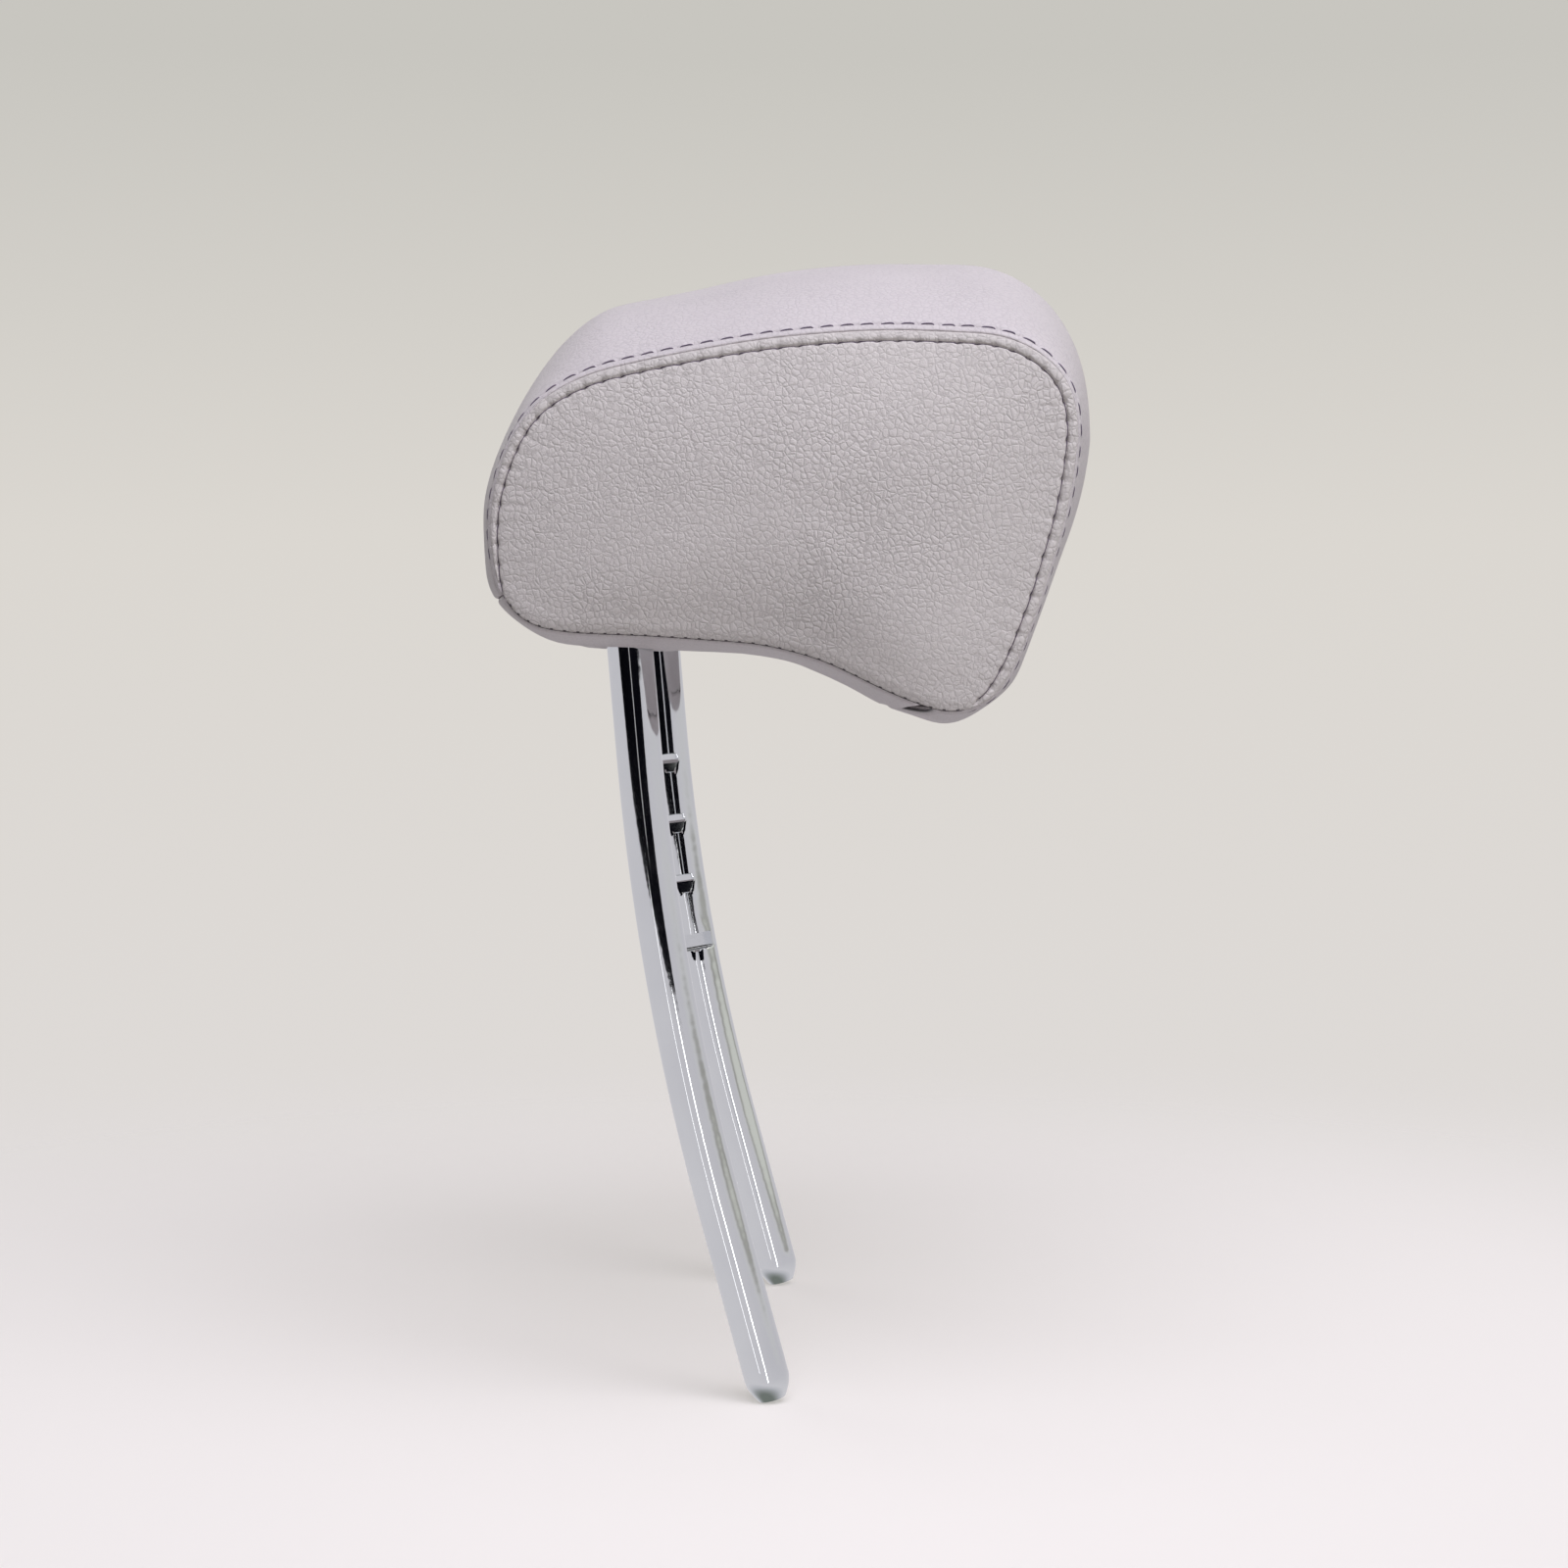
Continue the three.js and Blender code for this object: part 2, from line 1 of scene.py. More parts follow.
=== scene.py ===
"""Car headrest: a sewn leather cover on foam, topstitching, and a chromed post bar with notches.

Sizes are in millimetres and degrees until a mesh is built, when they become metres. +Z is up,
-Y is the side that the head leans on, and +X runs along the seat back.
"""

import math

import bpy
import numpy as np
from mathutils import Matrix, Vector


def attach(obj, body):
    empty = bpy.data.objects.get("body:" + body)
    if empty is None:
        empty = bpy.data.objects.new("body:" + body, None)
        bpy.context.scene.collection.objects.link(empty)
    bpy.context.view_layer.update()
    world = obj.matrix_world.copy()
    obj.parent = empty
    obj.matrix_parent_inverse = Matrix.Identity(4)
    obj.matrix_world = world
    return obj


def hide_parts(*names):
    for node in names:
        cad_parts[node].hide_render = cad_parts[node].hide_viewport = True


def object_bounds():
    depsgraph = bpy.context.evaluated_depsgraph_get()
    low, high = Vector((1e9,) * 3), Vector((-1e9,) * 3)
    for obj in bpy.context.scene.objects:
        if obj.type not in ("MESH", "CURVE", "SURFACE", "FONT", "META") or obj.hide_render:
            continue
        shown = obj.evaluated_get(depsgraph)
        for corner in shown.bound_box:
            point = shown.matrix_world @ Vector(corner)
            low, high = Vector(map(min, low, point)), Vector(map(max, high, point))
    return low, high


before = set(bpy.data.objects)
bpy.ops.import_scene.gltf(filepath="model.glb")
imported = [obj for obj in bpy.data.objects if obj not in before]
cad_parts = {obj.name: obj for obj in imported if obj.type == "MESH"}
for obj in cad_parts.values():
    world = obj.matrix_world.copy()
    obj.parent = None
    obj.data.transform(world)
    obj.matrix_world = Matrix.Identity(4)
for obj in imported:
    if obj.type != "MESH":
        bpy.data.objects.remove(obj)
cad_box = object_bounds()

MM = 0.001

# Post bar
POST_RADIUS = 6.5
POST_PLACE = 75.0
LOWER_LEAN = math.radians(15.1)
UPPER_LEAN = math.radians(4.8)
LOWER_STRAIGHT = 57.0
BEND_RADIUS = 740.0
CROSSBAR_HEIGHT = 266.0
SHOULDER_RADIUS = 24.0
TIP_FLAT_RADIUS = 4.0
TIP_TAPER = 6.5

# Height notches, by distance along the post from its end
TOP_NOTCH = 180.5
NOTCH_PITCH = 20.0
LATCH_NOTCHES = 3
LATCH_DEPTH = 0.75
LATCH_TOE_DEPTH = 0.3
LATCH_HEIGHT = 6.0
LATCH_ROOT = 2.0
STOP_DEPTH = 2.9
STOP_HEIGHT = 5.2
EDGE_BEVEL = 0.12

# Pad outline at the side seams: y, height above the crossbar, corner radius
REAR_BOTTOM = (74.2, -44.0, 16.0)
REAR_TOP = (75.1, 20.0, 40.0)
TOP_CREST = (-11.0, 37.3, 260.0)
FRONT_TOP = (-83.7, 36.5, 27.0)
FRONT_BELLY = (-80.7, -6.0, 110.0)
NOSE = (-57.5, -69.7, 13.5)
HOLLOW = (-6.2, -48.4, 70.0)
OUTLINE = (REAR_BOTTOM, REAR_TOP, TOP_CREST, FRONT_TOP, FRONT_BELLY, NOSE, HOLLOW)
OUTLINE_SAMPLES = 2400
OUTLINE_EASE = 2.6
ARC_SAMPLES = 60
PANEL_CENTRE = (-7.0, CROSSBAR_HEIGHT - 10.0)

# Crown of the band between the side seams, and of the side panels
HALF_SEAM = 118.0
SIDE_CROWN = 7.0
TOP_CROWN = 25.5
FRONT_CROWN = 10.5
REAR_CROWN = 9.5
UNDERSIDE_CROWN = 6.0
NOSE_CROWN = 8.0
NOSE_RISE = 30.0
CROWN_FULLNESS = 2.2
CROWN_SOFTNESS = 0.75
FRONT_TOP_BLEND = 2.0
EDGE_BLEND = 3.0

# Cover and its seams
COVER_THICKNESS = 1.5
SEAM_GAP = 0.1
REAR_SEAM_RISE = 9.0
CLOSURE_STATION = 24.0
CLOSURE_SWEEP = 10.0
CLOSURE_HOLD = 6.0
CLOSURE_EASE = 44.0
CLOSURE_ROLL = 1.9
CLOSURE_TUCK = 2.6
CLOSURE_PUFF = 1.7
CLOSURE_PUFF_REACH = 12.0
SLIT_OFFSET = 0.35
SLIT_DEPTH = 0.75
SLIT_RADIUS = 0.4
SLIT_FIRST = 0.6
SLIT_STEPS = 90
STITCH_PITCH = 5.4
PLAIN_PITCH = 3.65
BAND_ROW = 2.5
THREAD_RADIUS = 0.2
TUBE_SIDES = 8
HOLE_CLEARANCE = 0.9

# Fold of the side seam: distance past the rear seam, and how far it stands outside the outline
FOLD_SHIFTS = (
    (0, -1.5), (8, -0.1), (15, 1.0), (21, 0.9), (28, 0.25), (35, 0.1), (42, 0.4), (53, 1.25),
    (68, 0.2), (90, 0.7), (112, 0.3), (135, 0.0), (160, 0.0), (178, -0.7), (190, 0.2),
    (204, 2.0), (218, 1.35), (238, 1.9), (254, 2.7), (262, 3.3), (280, 3.1), (290, 1.6),
    (296, 0.6), (304, 0.4), (312, 1.1), (322, 1.1), (337, 0.1), (350, 0.1), (362, -0.6),
    (390, -1.0), (408, -0.6), (419, -1.5), (427, -1.3))

# Stitched row of the side panel: distance past the rear seam, and distance from the fold
ROW_INSETS = (
    (0, 0.15), (8, 1.2), (15, 1.85), (27, 2.3), (42, 2.65), (60, 2.85), (287, 2.85),
    (294, 1.8), (299, 0.3), (306, 0.0), (427, 0.0))

# Closure: how far in its bend reaches on each panel, and the tuck of the underside
BAND_SWEEP_REACH = 60.0
UNDERSIDE_SWEEP_REACH = 40.0
TUCK_NEAR_SEAM = 5.0
TUCK_MIDDLE = 2.2
TUCK_FROM = 14.0
TUCK_OVER = 20.0

# Rolled edges: radius and depth
SEWN_ROLL = (0.45, 0.55)
PLAIN_ROLL = (0.8, 0.9)
REAR_ROLL = (1.2, 1.2)
HOLE_ROLL = (2.4, 2.0)

# Soft puffs beside an edge: height, distance from the edge, width
PLAIN_PUFF = (0.3, 2.6, 2.0)
HOLE_PUFF = (0.7, 4.2, 2.6)

# Deepest relief of the band and the underside, and how much thicker than the leather they are
DEEPEST_BAND = 1.3
DEEPEST_UNDERSIDE = 2.0
BAND_BACKING = 0.5
UNDERSIDE_BACKING = 1.0

# Relief of the side panel's edge
LIP_HEIGHT = 0.47
LIP_DIP = 0.27
LIP_FULL_INSET = 1.8
CREASE_DEPTH = 0.55
CREASE_WIDTH = 0.22
NEEDLE_DEPTH = 0.75
NEEDLE_WIDTH = 0.3
SIDE_RISE = 0.38
SIDE_RISE_DIP = 0.2
SIDE_RISE_ONSET = 0.5
RISE_FADE = 6.0
UNEVENNESS = 0.1
WAVE_LENGTH = 85.0

# Relief of the band's edge
BAND_FLAT = 0.2
CHANNEL_DEPTH = 0.16
CHANNEL_NEEDLE_DEPTH = 0.5
CHANNEL_WIDTH = 0.5
BAND_RISE = 0.3
BAND_RISE_ONSET = 1.0

# Cloth inflation
PRESSURE = 4.0
CLOTH_SETTINGS = {
    "tension_stiffness": 40.0, "compression_stiffness": 40.0, "bending_stiffness": 2.0,
    "quality": 6}
INFLATE_FRAMES = 20
MOST_SWELL = 2.2
LEAST_SWELL = -0.4
COARSE_STATIONS = 88
COARSE_ACROSS = 47
COARSE_RINGS = 14

RNG_SEED = 11


def smoothstep(value):
    value = np.clip(value, 0.0, 1.0)
    return value * value * (3.0 - 2.0 * value)


def puff(distance, height, middle, width):
    """A soft bell of the given height around its middle."""
    return height * np.exp(-((distance - middle) / width) ** 2)


# Pad outline: filleted corners, resampled evenly and eased into one smooth closed curve

def corner_arc(before, corner, after):
    """Points of the arc that rounds one corner of the outline."""
    corner_at = np.array(corner[:2])
    to_before = np.array(before[:2]) - corner_at
    to_after = np.array(after[:2]) - corner_at
    to_before /= np.linalg.norm(to_before)
    to_after /= np.linalg.norm(to_after)
    opening = math.acos(float(np.dot(to_before, to_after)))
    radius = corner[2]
    middle = to_before + to_after
    middle /= np.linalg.norm(middle)
    centre = corner_at + middle * radius / math.sin(opening / 2)
    start = corner_at + to_before * radius / math.tan(opening / 2) - centre
    hollow = to_before[0] * to_after[1] - to_before[1] * to_after[0] > 0
    sweep = (math.pi - opening) * (-1 if hollow else 1)
    turns = np.linspace(0.0, sweep, ARC_SAMPLES)
    cosine, sine = np.cos(turns), np.sin(turns)
    return np.stack([
        centre[0] + start[0] * cosine - start[1] * sine,
        centre[1] + start[0] * sine + start[1] * cosine,
    ], axis=1)


def closed_resample(points, count):
    """Evenly spaced points on a closed line, and its whole length."""
    loop = np.vstack([points, points[:1]])
    lengths = np.concatenate([[0.0], np.cumsum(np.linalg.norm(np.diff(loop, axis=0), axis=1))])
    places = np.arange(count) * lengths[-1] / count
    even = [np.interp(places, lengths, column) for column in loop.T]
    return np.stack(even, axis=1), lengths[-1]


def eased(values, length, width):
    """Closed columns of values, averaged over a bell of the given width."""
    steps = np.fft.fftfreq(len(values), d=length / len(values))
    bell = np.exp(-2.0 * (math.pi * width * steps) ** 2)
    return np.stack([np.fft.ifft(np.fft.fft(column) * bell).real for column in values.T], axis=1)


def pad_outline():
    """Points of the seam's outline, their outward directions, and its whole length."""
    corners = [(y, CROSSBAR_HEIGHT + rise, radius) for y, rise, radius in OUTLINE]
    arcs = [corner_arc(corners[i - 1], corners[i], corners[(i + 1) % len(corners)])
            for i in range(len(corners))]
    points, length = closed_resample(np.vstack(arcs), OUTLINE_SAMPLES)
    points, length = closed_resample(eased(points, length, OUTLINE_EASE), OUTLINE_SAMPLES)
    ahead = np.roll(points, -1, axis=0) - np.roll(points, 1, axis=0)
    ahead /= np.linalg.norm(ahead, axis=1)[:, None]
    normals = np.stack([ahead[:, 1], -ahead[:, 0]], axis=1)
    return points, normals, length


BASE_POINTS, SEAM_NORMALS, SEAM_LENGTH = pad_outline()


def even_stations(count):
    """Evenly spaced distances along the whole seam."""
    return np.arange(count) * SEAM_LENGTH / count


SEAM_STATIONS = even_stations(OUTLINE_SAMPLES)


def station_near(y, z):
    nearest = np.argmin(np.hypot(BASE_POINTS[:, 0] - y, BASE_POINTS[:, 1] - z))
    return SEAM_STATIONS[nearest]


def closure_place():
    """Where the band ends under the nose, from the nose corner towards the hollow."""
    start = np.array([NOSE[0], CROSSBAR_HEIGHT + NOSE[1]])
    rearward = np.array([HOLLOW[0], CROSSBAR_HEIGHT + HOLLOW[1]]) - start
    return start + rearward / np.linalg.norm(rearward) * CLOSURE_STATION


REAR_SEAM = station_near(REAR_BOTTOM[0], CROSSBAR_HEIGHT + REAR_BOTTOM[1] + REAR_SEAM_RISE)
CLOSURE = station_near(*closure_place())
NOSE_END = station_near(NOSE[0] + 2.0, CROSSBAR_HEIGHT + NOSE[1] - 5.0)


def seam_profile(pairs, width):
    """A measured row of values around the seam, joined and eased into a smooth one."""
    places, values = np.array(pairs, dtype=float).T
    past_rear = np.mod(SEAM_STATIONS - REAR_SEAM, SEAM_LENGTH)
    joined = np.interp(past_rear, places, values, period=SEAM_LENGTH)
    return eased(joined[:, None], SEAM_LENGTH, width)[:, 0]


SHIFTS = seam_profile(FOLD_SHIFTS, 4.0)
INSETS = np.maximum(seam_profile(ROW_INSETS, 1.5), 0.0)
SEAM_POINTS = BASE_POINTS + SEAM_NORMALS * SHIFTS[:, None]


def along_seam(column, station):
    return np.interp(np.mod(station, SEAM_LENGTH), SEAM_STATIONS, column, period=SEAM_LENGTH)


def outline_at(station):
    """Fold point and outward direction at distances along the seam."""
    point = np.stack([along_seam(column, station) for column in SEAM_POINTS.T], axis=-1)
    normal = np.stack([along_seam(column, station) for column in SEAM_NORMALS.T], axis=-1)
    return point, normal / np.linalg.norm(normal, axis=-1, keepdims=True)


# Pad surface: the crowned band between the seams, and the domed sides

def crown_at(station):
    """How far the middle of the band stands outside the fold."""
    point, normal = outline_at(station)
    y, z = normal[..., 0], normal[..., 1]
    blend = np.where((y < 0) & (z > 0), FRONT_TOP_BLEND, EDGE_BLEND)
    past_hollow = np.clip((HOLLOW[0] - point[..., 0]) / NOSE_RISE + 0.5, 0.0, 1.0)
    below = UNDERSIDE_CROWN + (NOSE_CROWN - UNDERSIDE_CROWN) * past_hollow
    crown = (TOP_CROWN * np.maximum(z, 0) ** blend + below * np.maximum(-z, 0) ** blend
             + REAR_CROWN * np.maximum(y, 0) ** blend + FRONT_CROWN * np.maximum(-y, 0) ** blend)
    bulge = puff(np.mod(station, SEAM_LENGTH), CLOSURE_PUFF, CLOSURE, CLOSURE_PUFF_REACH)
    return crown + bulge - along_seam(SHIFTS, station)


def cubic_weights(part):
    return ((-part + 2 * part ** 2 - part ** 3) / 2, (2 - 5 * part ** 2 + 3 * part ** 3) / 2,
            (part + 4 * part ** 2 - 3 * part ** 3) / 2, (part ** 3 - part ** 2) / 2)


def sampled(grid, row, column):
    """Smooth reading of a grid whose rows close on themselves."""
    row, column = np.broadcast_arrays(row, column)
    first_row, first_column = np.floor(row).astype(int), np.floor(column).astype(int)
    total = np.zeros(row.shape)
    for i, row_weight in enumerate(cubic_weights(row - first_row)):
        for j, column_weight in enumerate(cubic_weights(column - first_column)):
            picked = grid[(first_row + i - 1) % grid.shape[0],
                          np.clip(first_column + j - 1, 0, grid.shape[1] - 1)]
            total += row_weight * column_weight * picked
    return total


# How far the blown-up cloth stands off the drawn pad, filled in by inflate()
BAND_SWELL = np.zeros((COARSE_STATIONS, COARSE_ACROSS))
SIDE_SWELL = {-1: np.zeros((COARSE_STATIONS, COARSE_RINGS + 1)),
              1: np.zeros((COARSE_STATIONS, COARSE_RINGS + 1))}


def band_swell(station, across):
    row = np.mod(station, SEAM_LENGTH) / SEAM_LENGTH * COARSE_STATIONS
    column = (np.clip(across / HALF_SEAM, -1.0, 1.0) + 1.0) / 2.0 * (COARSE_ACROSS - 1)
    return sampled(BAND_SWELL, row, column)


def crown_share(across):
    """Share of the crown at places across the band: 0 at the seams, 1 at mid-width."""
    return np.maximum(1.0 - np.abs(across / HALF_SEAM) ** CROWN_FULLNESS, 0.0) ** CROWN_SOFTNESS


def band_surface(station, across):
    """Points of the crowned band, for stations along the seam and places across it."""
    point, normal = outline_at(station)
    reach = crown_at(station) * crown_share(across) + band_swell(station, across)
    return np.stack([
        np.broadcast_to(across, reach.shape),
        point[..., 0] + normal[..., 0] * reach,
        point[..., 1] + normal[..., 1] * reach,
    ], axis=-1)


def panel_radius():
    """Distance from the panel's centre to the seam and the seam's station, by direction."""
    arms = SEAM_POINTS - np.array(PANEL_CENTRE)
    angles = np.arctan2(arms[:, 1], arms[:, 0])
    order = np.argsort(angles)
    turns = np.unwrap(SEAM_STATIONS[order] * 2 * math.pi / SEAM_LENGTH)
    return angles[order], np.hypot(arms[:, 0], arms[:, 1])[order], turns


PANEL_ANGLES, PANEL_REACH, PANEL_TURNS = panel_radius()
TURN_SIGN = math.copysign(1.0, PANEL_TURNS[-1] - PANEL_TURNS[0])


def side_swell(angle, share, side):
    """Swell of a side panel by direction from its centre and share of the way to the seam."""
    even = TURN_SIGN * PANEL_ANGLES
    straight = np.interp(angle, PANEL_ANGLES, PANEL_TURNS - even, period=2 * math.pi)
    row = (straight + TURN_SIGN * angle) / (2 * math.pi) * COARSE_STATIONS
    return sampled(SIDE_SWELL[side], row, (1.0 - share) * COARSE_RINGS)


def side_surface(flat, side):
    """Points of a domed side panel, for points of its flat outline."""
    arm = flat - np.array(PANEL_CENTRE)
    angle = np.arctan2(arm[..., 1], arm[..., 0])
    reach = np.interp(angle, PANEL_ANGLES, PANEL_REACH, period=2 * math.pi)
    share = np.clip(np.hypot(arm[..., 0], arm[..., 1]) / reach, 0.0, 1.0)
    x = HALF_SEAM + SIDE_CROWN * (1.0 - share ** CROWN_FULLNESS) + side_swell(angle, share, side)
    return np.stack([side * x, flat[..., 0], flat[..., 1]], axis=-1)


def grid_normals(points, wrap):
    """Unit normals of a grid whose first index runs along the seam."""
    if wrap:
        along = np.roll(points, -1, axis=0) - np.roll(points, 1, axis=0)
    else:
        along = np.gradient(points, axis=0)
    normals = np.cross(along, np.gradient(points, axis=1))
    return normals / np.maximum(np.linalg.norm(normals, axis=-1, keepdims=True), 1e-12)


# Sewn relief: how far the leather stands above or below the smooth pad near a seam

def past_rear_seam(station):
    return np.mod(station - REAR_SEAM, SEAM_LENGTH)


def double_seam_share(station):
    """One where the seam is topstitched, zero along the plain seam below."""
    past_rear = past_rear_seam(station)
    before_nose = np.mod(NOSE_END - REAR_SEAM, SEAM_LENGTH) - past_rear
    return smoothstep(past_rear / 1.5) * smoothstep(before_nose / 6.0)


def slow_wave(station, seed):
    """A gentle seeded unevenness along a seam, between about -1 and 1."""
    rng = np.random.default_rng(RNG_SEED + seed)
    total = np.zeros_like(np.asarray(station, dtype=float))
    for harmonic in range(4):
        wavelength = WAVE_LENGTH / (1.0 + harmonic * 0.9) * rng.uniform(0.85, 1.15)
        total += np.sin(station * 2 * math.pi / wavelength + rng.uniform(0, 6.28)) / 2.4
    return total


def needle_holes(station):
    """One at each needle hole of the topstitching, falling to zero between them."""
    return (0.5 + 0.5 * np.cos(2 * math.pi * station / STITCH_PITCH)) ** 4


def edge_roll(distance, radius, depth):
    """The folded edge of a panel, dropping into the seam."""
    inside = np.clip(1.0 - distance / radius, 0.0, 1.0)
    return -depth * (1.0 - np.sqrt(np.maximum(1.0 - inside ** 2, 0.0)))


def row_inset(station):
    return along_seam(INSETS, station)


def rise_past(from_row, height, onset):
    """A fullness that starts at the stitched row and fades away from it."""
    past = np.maximum(from_row, 0.0)
    return height * (1.0 - np.exp(-past / onset)) * np.exp(-past / RISE_FADE)


def plain_relief(distance):
    """Relief of a panel edge at the plain seam: a soft puff, and a tight fold."""
    return puff(distance, *PLAIN_PUFF) + edge_roll(distance, *PLAIN_ROLL)


def side_relief(distance, station, seed):
    """Relief of a side panel: a lip at the fold, a tight crease at the row, a rise past it."""
    double = double_seam_share(station)
    holes = needle_holes(station)
    uneven = UNEVENNESS * slow_wave(station, seed)
    row = np.maximum(row_inset(station), 0.05)
    from_row = distance - row
    lip = (LIP_HEIGHT + uneven - LIP_DIP * holes) * np.minimum(row / LIP_FULL_INSET, 1.0)
    lip_shape = np.sin(math.pi * np.clip(distance / row, 0.0, 1.0)) ** 0.6
    crease = puff(
        from_row, CREASE_DEPTH + NEEDLE_DEPTH * holes, 0.0, CREASE_WIDTH + NEEDLE_WIDTH * holes)
    rise = rise_past(from_row, SIDE_RISE + uneven - SIDE_RISE_DIP * holes, SIDE_RISE_ONSET)
    sewn = lip * lip_shape - crease + rise + edge_roll(distance, *SEWN_ROLL)
    return double * sewn + (1.0 - double) * plain_relief(distance)


def band_relief(distance, station, seed):
    """Relief of the band's edge: nearly flat, with a shallow channel at its stitches."""
    double = double_seam_share(station)
    holes = needle_holes(station)
    uneven = UNEVENNESS * slow_wave(station, seed)
    from_row = distance - BAND_ROW
    flat = BAND_FLAT * np.sin(math.pi * np.clip(distance / BAND_ROW, 0.0, 1.0)) ** 0.7
    channel = puff(from_row, CHANNEL_DEPTH + CHANNEL_NEEDLE_DEPTH * holes, 0.0, CHANNEL_WIDTH)
    rise = rise_past(from_row, BAND_RISE + uneven, BAND_RISE_ONSET)
    sewn = flat - channel + rise + edge_roll(distance, *SEWN_ROLL)
    return double * sewn + (1.0 - double) * plain_relief(distance)


# Mesh building

def grid_quads(rows, columns, wrap=False):
    """Faces of a grid of points, which may close on itself along its first index."""
    row = np.arange(rows if wrap else rows - 1)[:, None]
    column = np.arange(columns - 1)[None, :]
    a = row * columns + column
    b = (row + 1) % rows * columns + column
    return np.stack([a, b, b + 1, a + 1], axis=-1).reshape(-1, 4)


def turned(faces, over):
    """The same faces, turned over or not."""
    return list(faces[:, ::-1] if over else faces)


def tube_faces(rings, sides):
    """Faces of a closed tube: quads between its rings, and a cap at each end."""
    faces = []
    for row in range(rings - 1):
        for i in range(sides):
            a, b = row * sides + i, row * sides + (i + 1) % sides
            faces.append([a, b, b + sides, a + sides])
    last = (rings - 1) * sides
    return [*faces, list(range(sides))[::-1], list(range(last, last + sides))]


def closed_shell(outer, inner, faces):
    """Vertices and faces of a sheet with an inside, closed along every free edge."""
    count = len(outer)
    edges = np.concatenate([np.stack([face, np.roll(face, -1)], axis=1) for face in faces])
    forward = edges[:, 0].astype(np.int64) * count + edges[:, 1]
    backward = edges[:, 1].astype(np.int64) * count + edges[:, 0]
    free = edges[~np.isin(forward, backward)]
    back = [face[::-1] + count for face in faces]
    rim = [np.array([b, a, a + count, b + count]) for a, b in free]
    return np.vstack([outer, inner]), list(faces) + back + rim


def new_object(name, points, faces, material=None, smooth=True):
    """A mesh object in metres, from points in millimetres."""
    mesh = bpy.data.meshes.new(name)
    mesh.from_pydata((np.asarray(points) * MM).tolist(), [], [list(map(int, f)) for f in faces])
    mesh.validate()
    mesh.update()
    if smooth:
        mesh.polygons.foreach_set("use_smooth", np.ones(len(mesh.polygons), dtype=bool))
    piece = bpy.data.objects.new(name, mesh)
    bpy.context.scene.collection.objects.link(piece)
    if material:
        mesh.materials.append(material)
    return piece


def dress(piece, slot, *nodes):
    """Let a piece ride on the root and stand for nodes, which it hides; the slot it is given is not
    used.
    """
    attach(piece, "root")
    if nodes:
        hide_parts(*nodes)
    return piece


# Cloth inflation: a coarse closed pad, held at its seams and blown up from inside

COARSE_PLACES = even_stations(COARSE_STATIONS)
COARSE_SEAM = np.arange(COARSE_STATIONS) * COARSE_ACROSS
ACROSS_COARSE = np.linspace(-HALF_SEAM, HALF_SEAM, COARSE_ACROSS)


def held_points():
    """Points of the coarse band at the side seams, the rear seam and the closure."""
    halfway = SEAM_LENGTH / 2
    to_rear = np.abs(np.mod(COARSE_PLACES - REAR_SEAM + halfway, SEAM_LENGTH) - halfway)
    to_closure = np.abs(COARSE_PLACES - CLOSURE)
    held = [COARSE_SEAM, COARSE_SEAM + COARSE_ACROSS - 1]
    for row in (np.argmin(to_rear), np.argmin(to_closure)):
        held.append(row * COARSE_ACROSS + np.arange(COARSE_ACROSS))
    return np.unique(np.concatenate(held))


def coarse_side(side, count):
    """Rings of points from the seam to a side panel's centre, and their faces."""
    edge, _ = outline_at(COARSE_PLACES)
    centre = np.array(PANEL_CENTRE)
    points, faces = [], []
    previous = COARSE_SEAM + (COARSE_ACROSS - 1) * (side > 0)
    for ring in range(1, COARSE_RINGS):
        points.append(side_surface(centre + (edge - centre) * (1.0 - ring / COARSE_RINGS), side))
        here = count + np.arange(COARSE_STATIONS)
        quads = np.stack([previous, here, np.roll(here, -1), np.roll(previous, -1)], axis=1)
        faces += turned(quads, side > 0)
        previous = here
        count += COARSE_STATIONS
    points.append(np.array([[side * (HALF_SEAM + SIDE_CROWN), *PANEL_CENTRE]]))
    fan = np.stack([previous, np.full(COARSE_STATIONS, count), np.roll(previous, -1)], axis=1)
    return points, faces + turned(fan, side > 0)


def coarse_pad():
    """Points and faces of the coarse pad: its band, then its left and right sides."""
    points = [band_surface(COARSE_PLACES[:, None], ACROSS_COARSE[None, :]).reshape(-1, 3)]
    faces = list(grid_quads(COARSE_STATIONS, COARSE_ACROSS, wrap=True))
    for side in (-1, 1):
        side_points, side_faces = coarse_side(side, sum(map(len, points)))
        points += side_points
        faces += side_faces
    return np.vstack(points), faces


def blown_up(points, faces):
    """The coarse pad's points after the cloth simulation, in millimetres."""
    scene = bpy.context.scene
    piece = new_object("coarse_pad", points, faces)
    group = piece.vertex_groups.new(name="held")
    group.add(held_points().tolist(), 1.0, "REPLACE")
    cloth = piece.modifiers.new("cloth", "CLOTH")
    cloth.settings.vertex_group_mass = "held"
    cloth.settings.effector_weights.gravity = 0.0
    cloth.settings.use_pressure = True
    cloth.settings.uniform_pressure_force = PRESSURE
    for name, value in CLOTH_SETTINGS.items():
        setattr(cloth.settings, name, value)
    cloth.point_cache.frame_start, cloth.point_cache.frame_end = 1, INFLATE_FRAMES
    for step in range(1, INFLATE_FRAMES + 1):
        scene.frame_set(step)
    shaped = piece.evaluated_get(bpy.context.evaluated_depsgraph_get()).data
    result = np.empty(len(shaped.vertices) * 3)
    shaped.vertices.foreach_get("co", result)
    mesh = piece.data
    bpy.data.objects.remove(piece)
    bpy.data.meshes.remove(mesh)
    scene.frame_set(1)
    return result.reshape(-1, 3) / MM


def capped(swell):
    """A swell eased to the most and the least that it may be."""
    return np.maximum(MOST_SWELL * np.tanh(swell / MOST_SWELL), LEAST_SWELL)


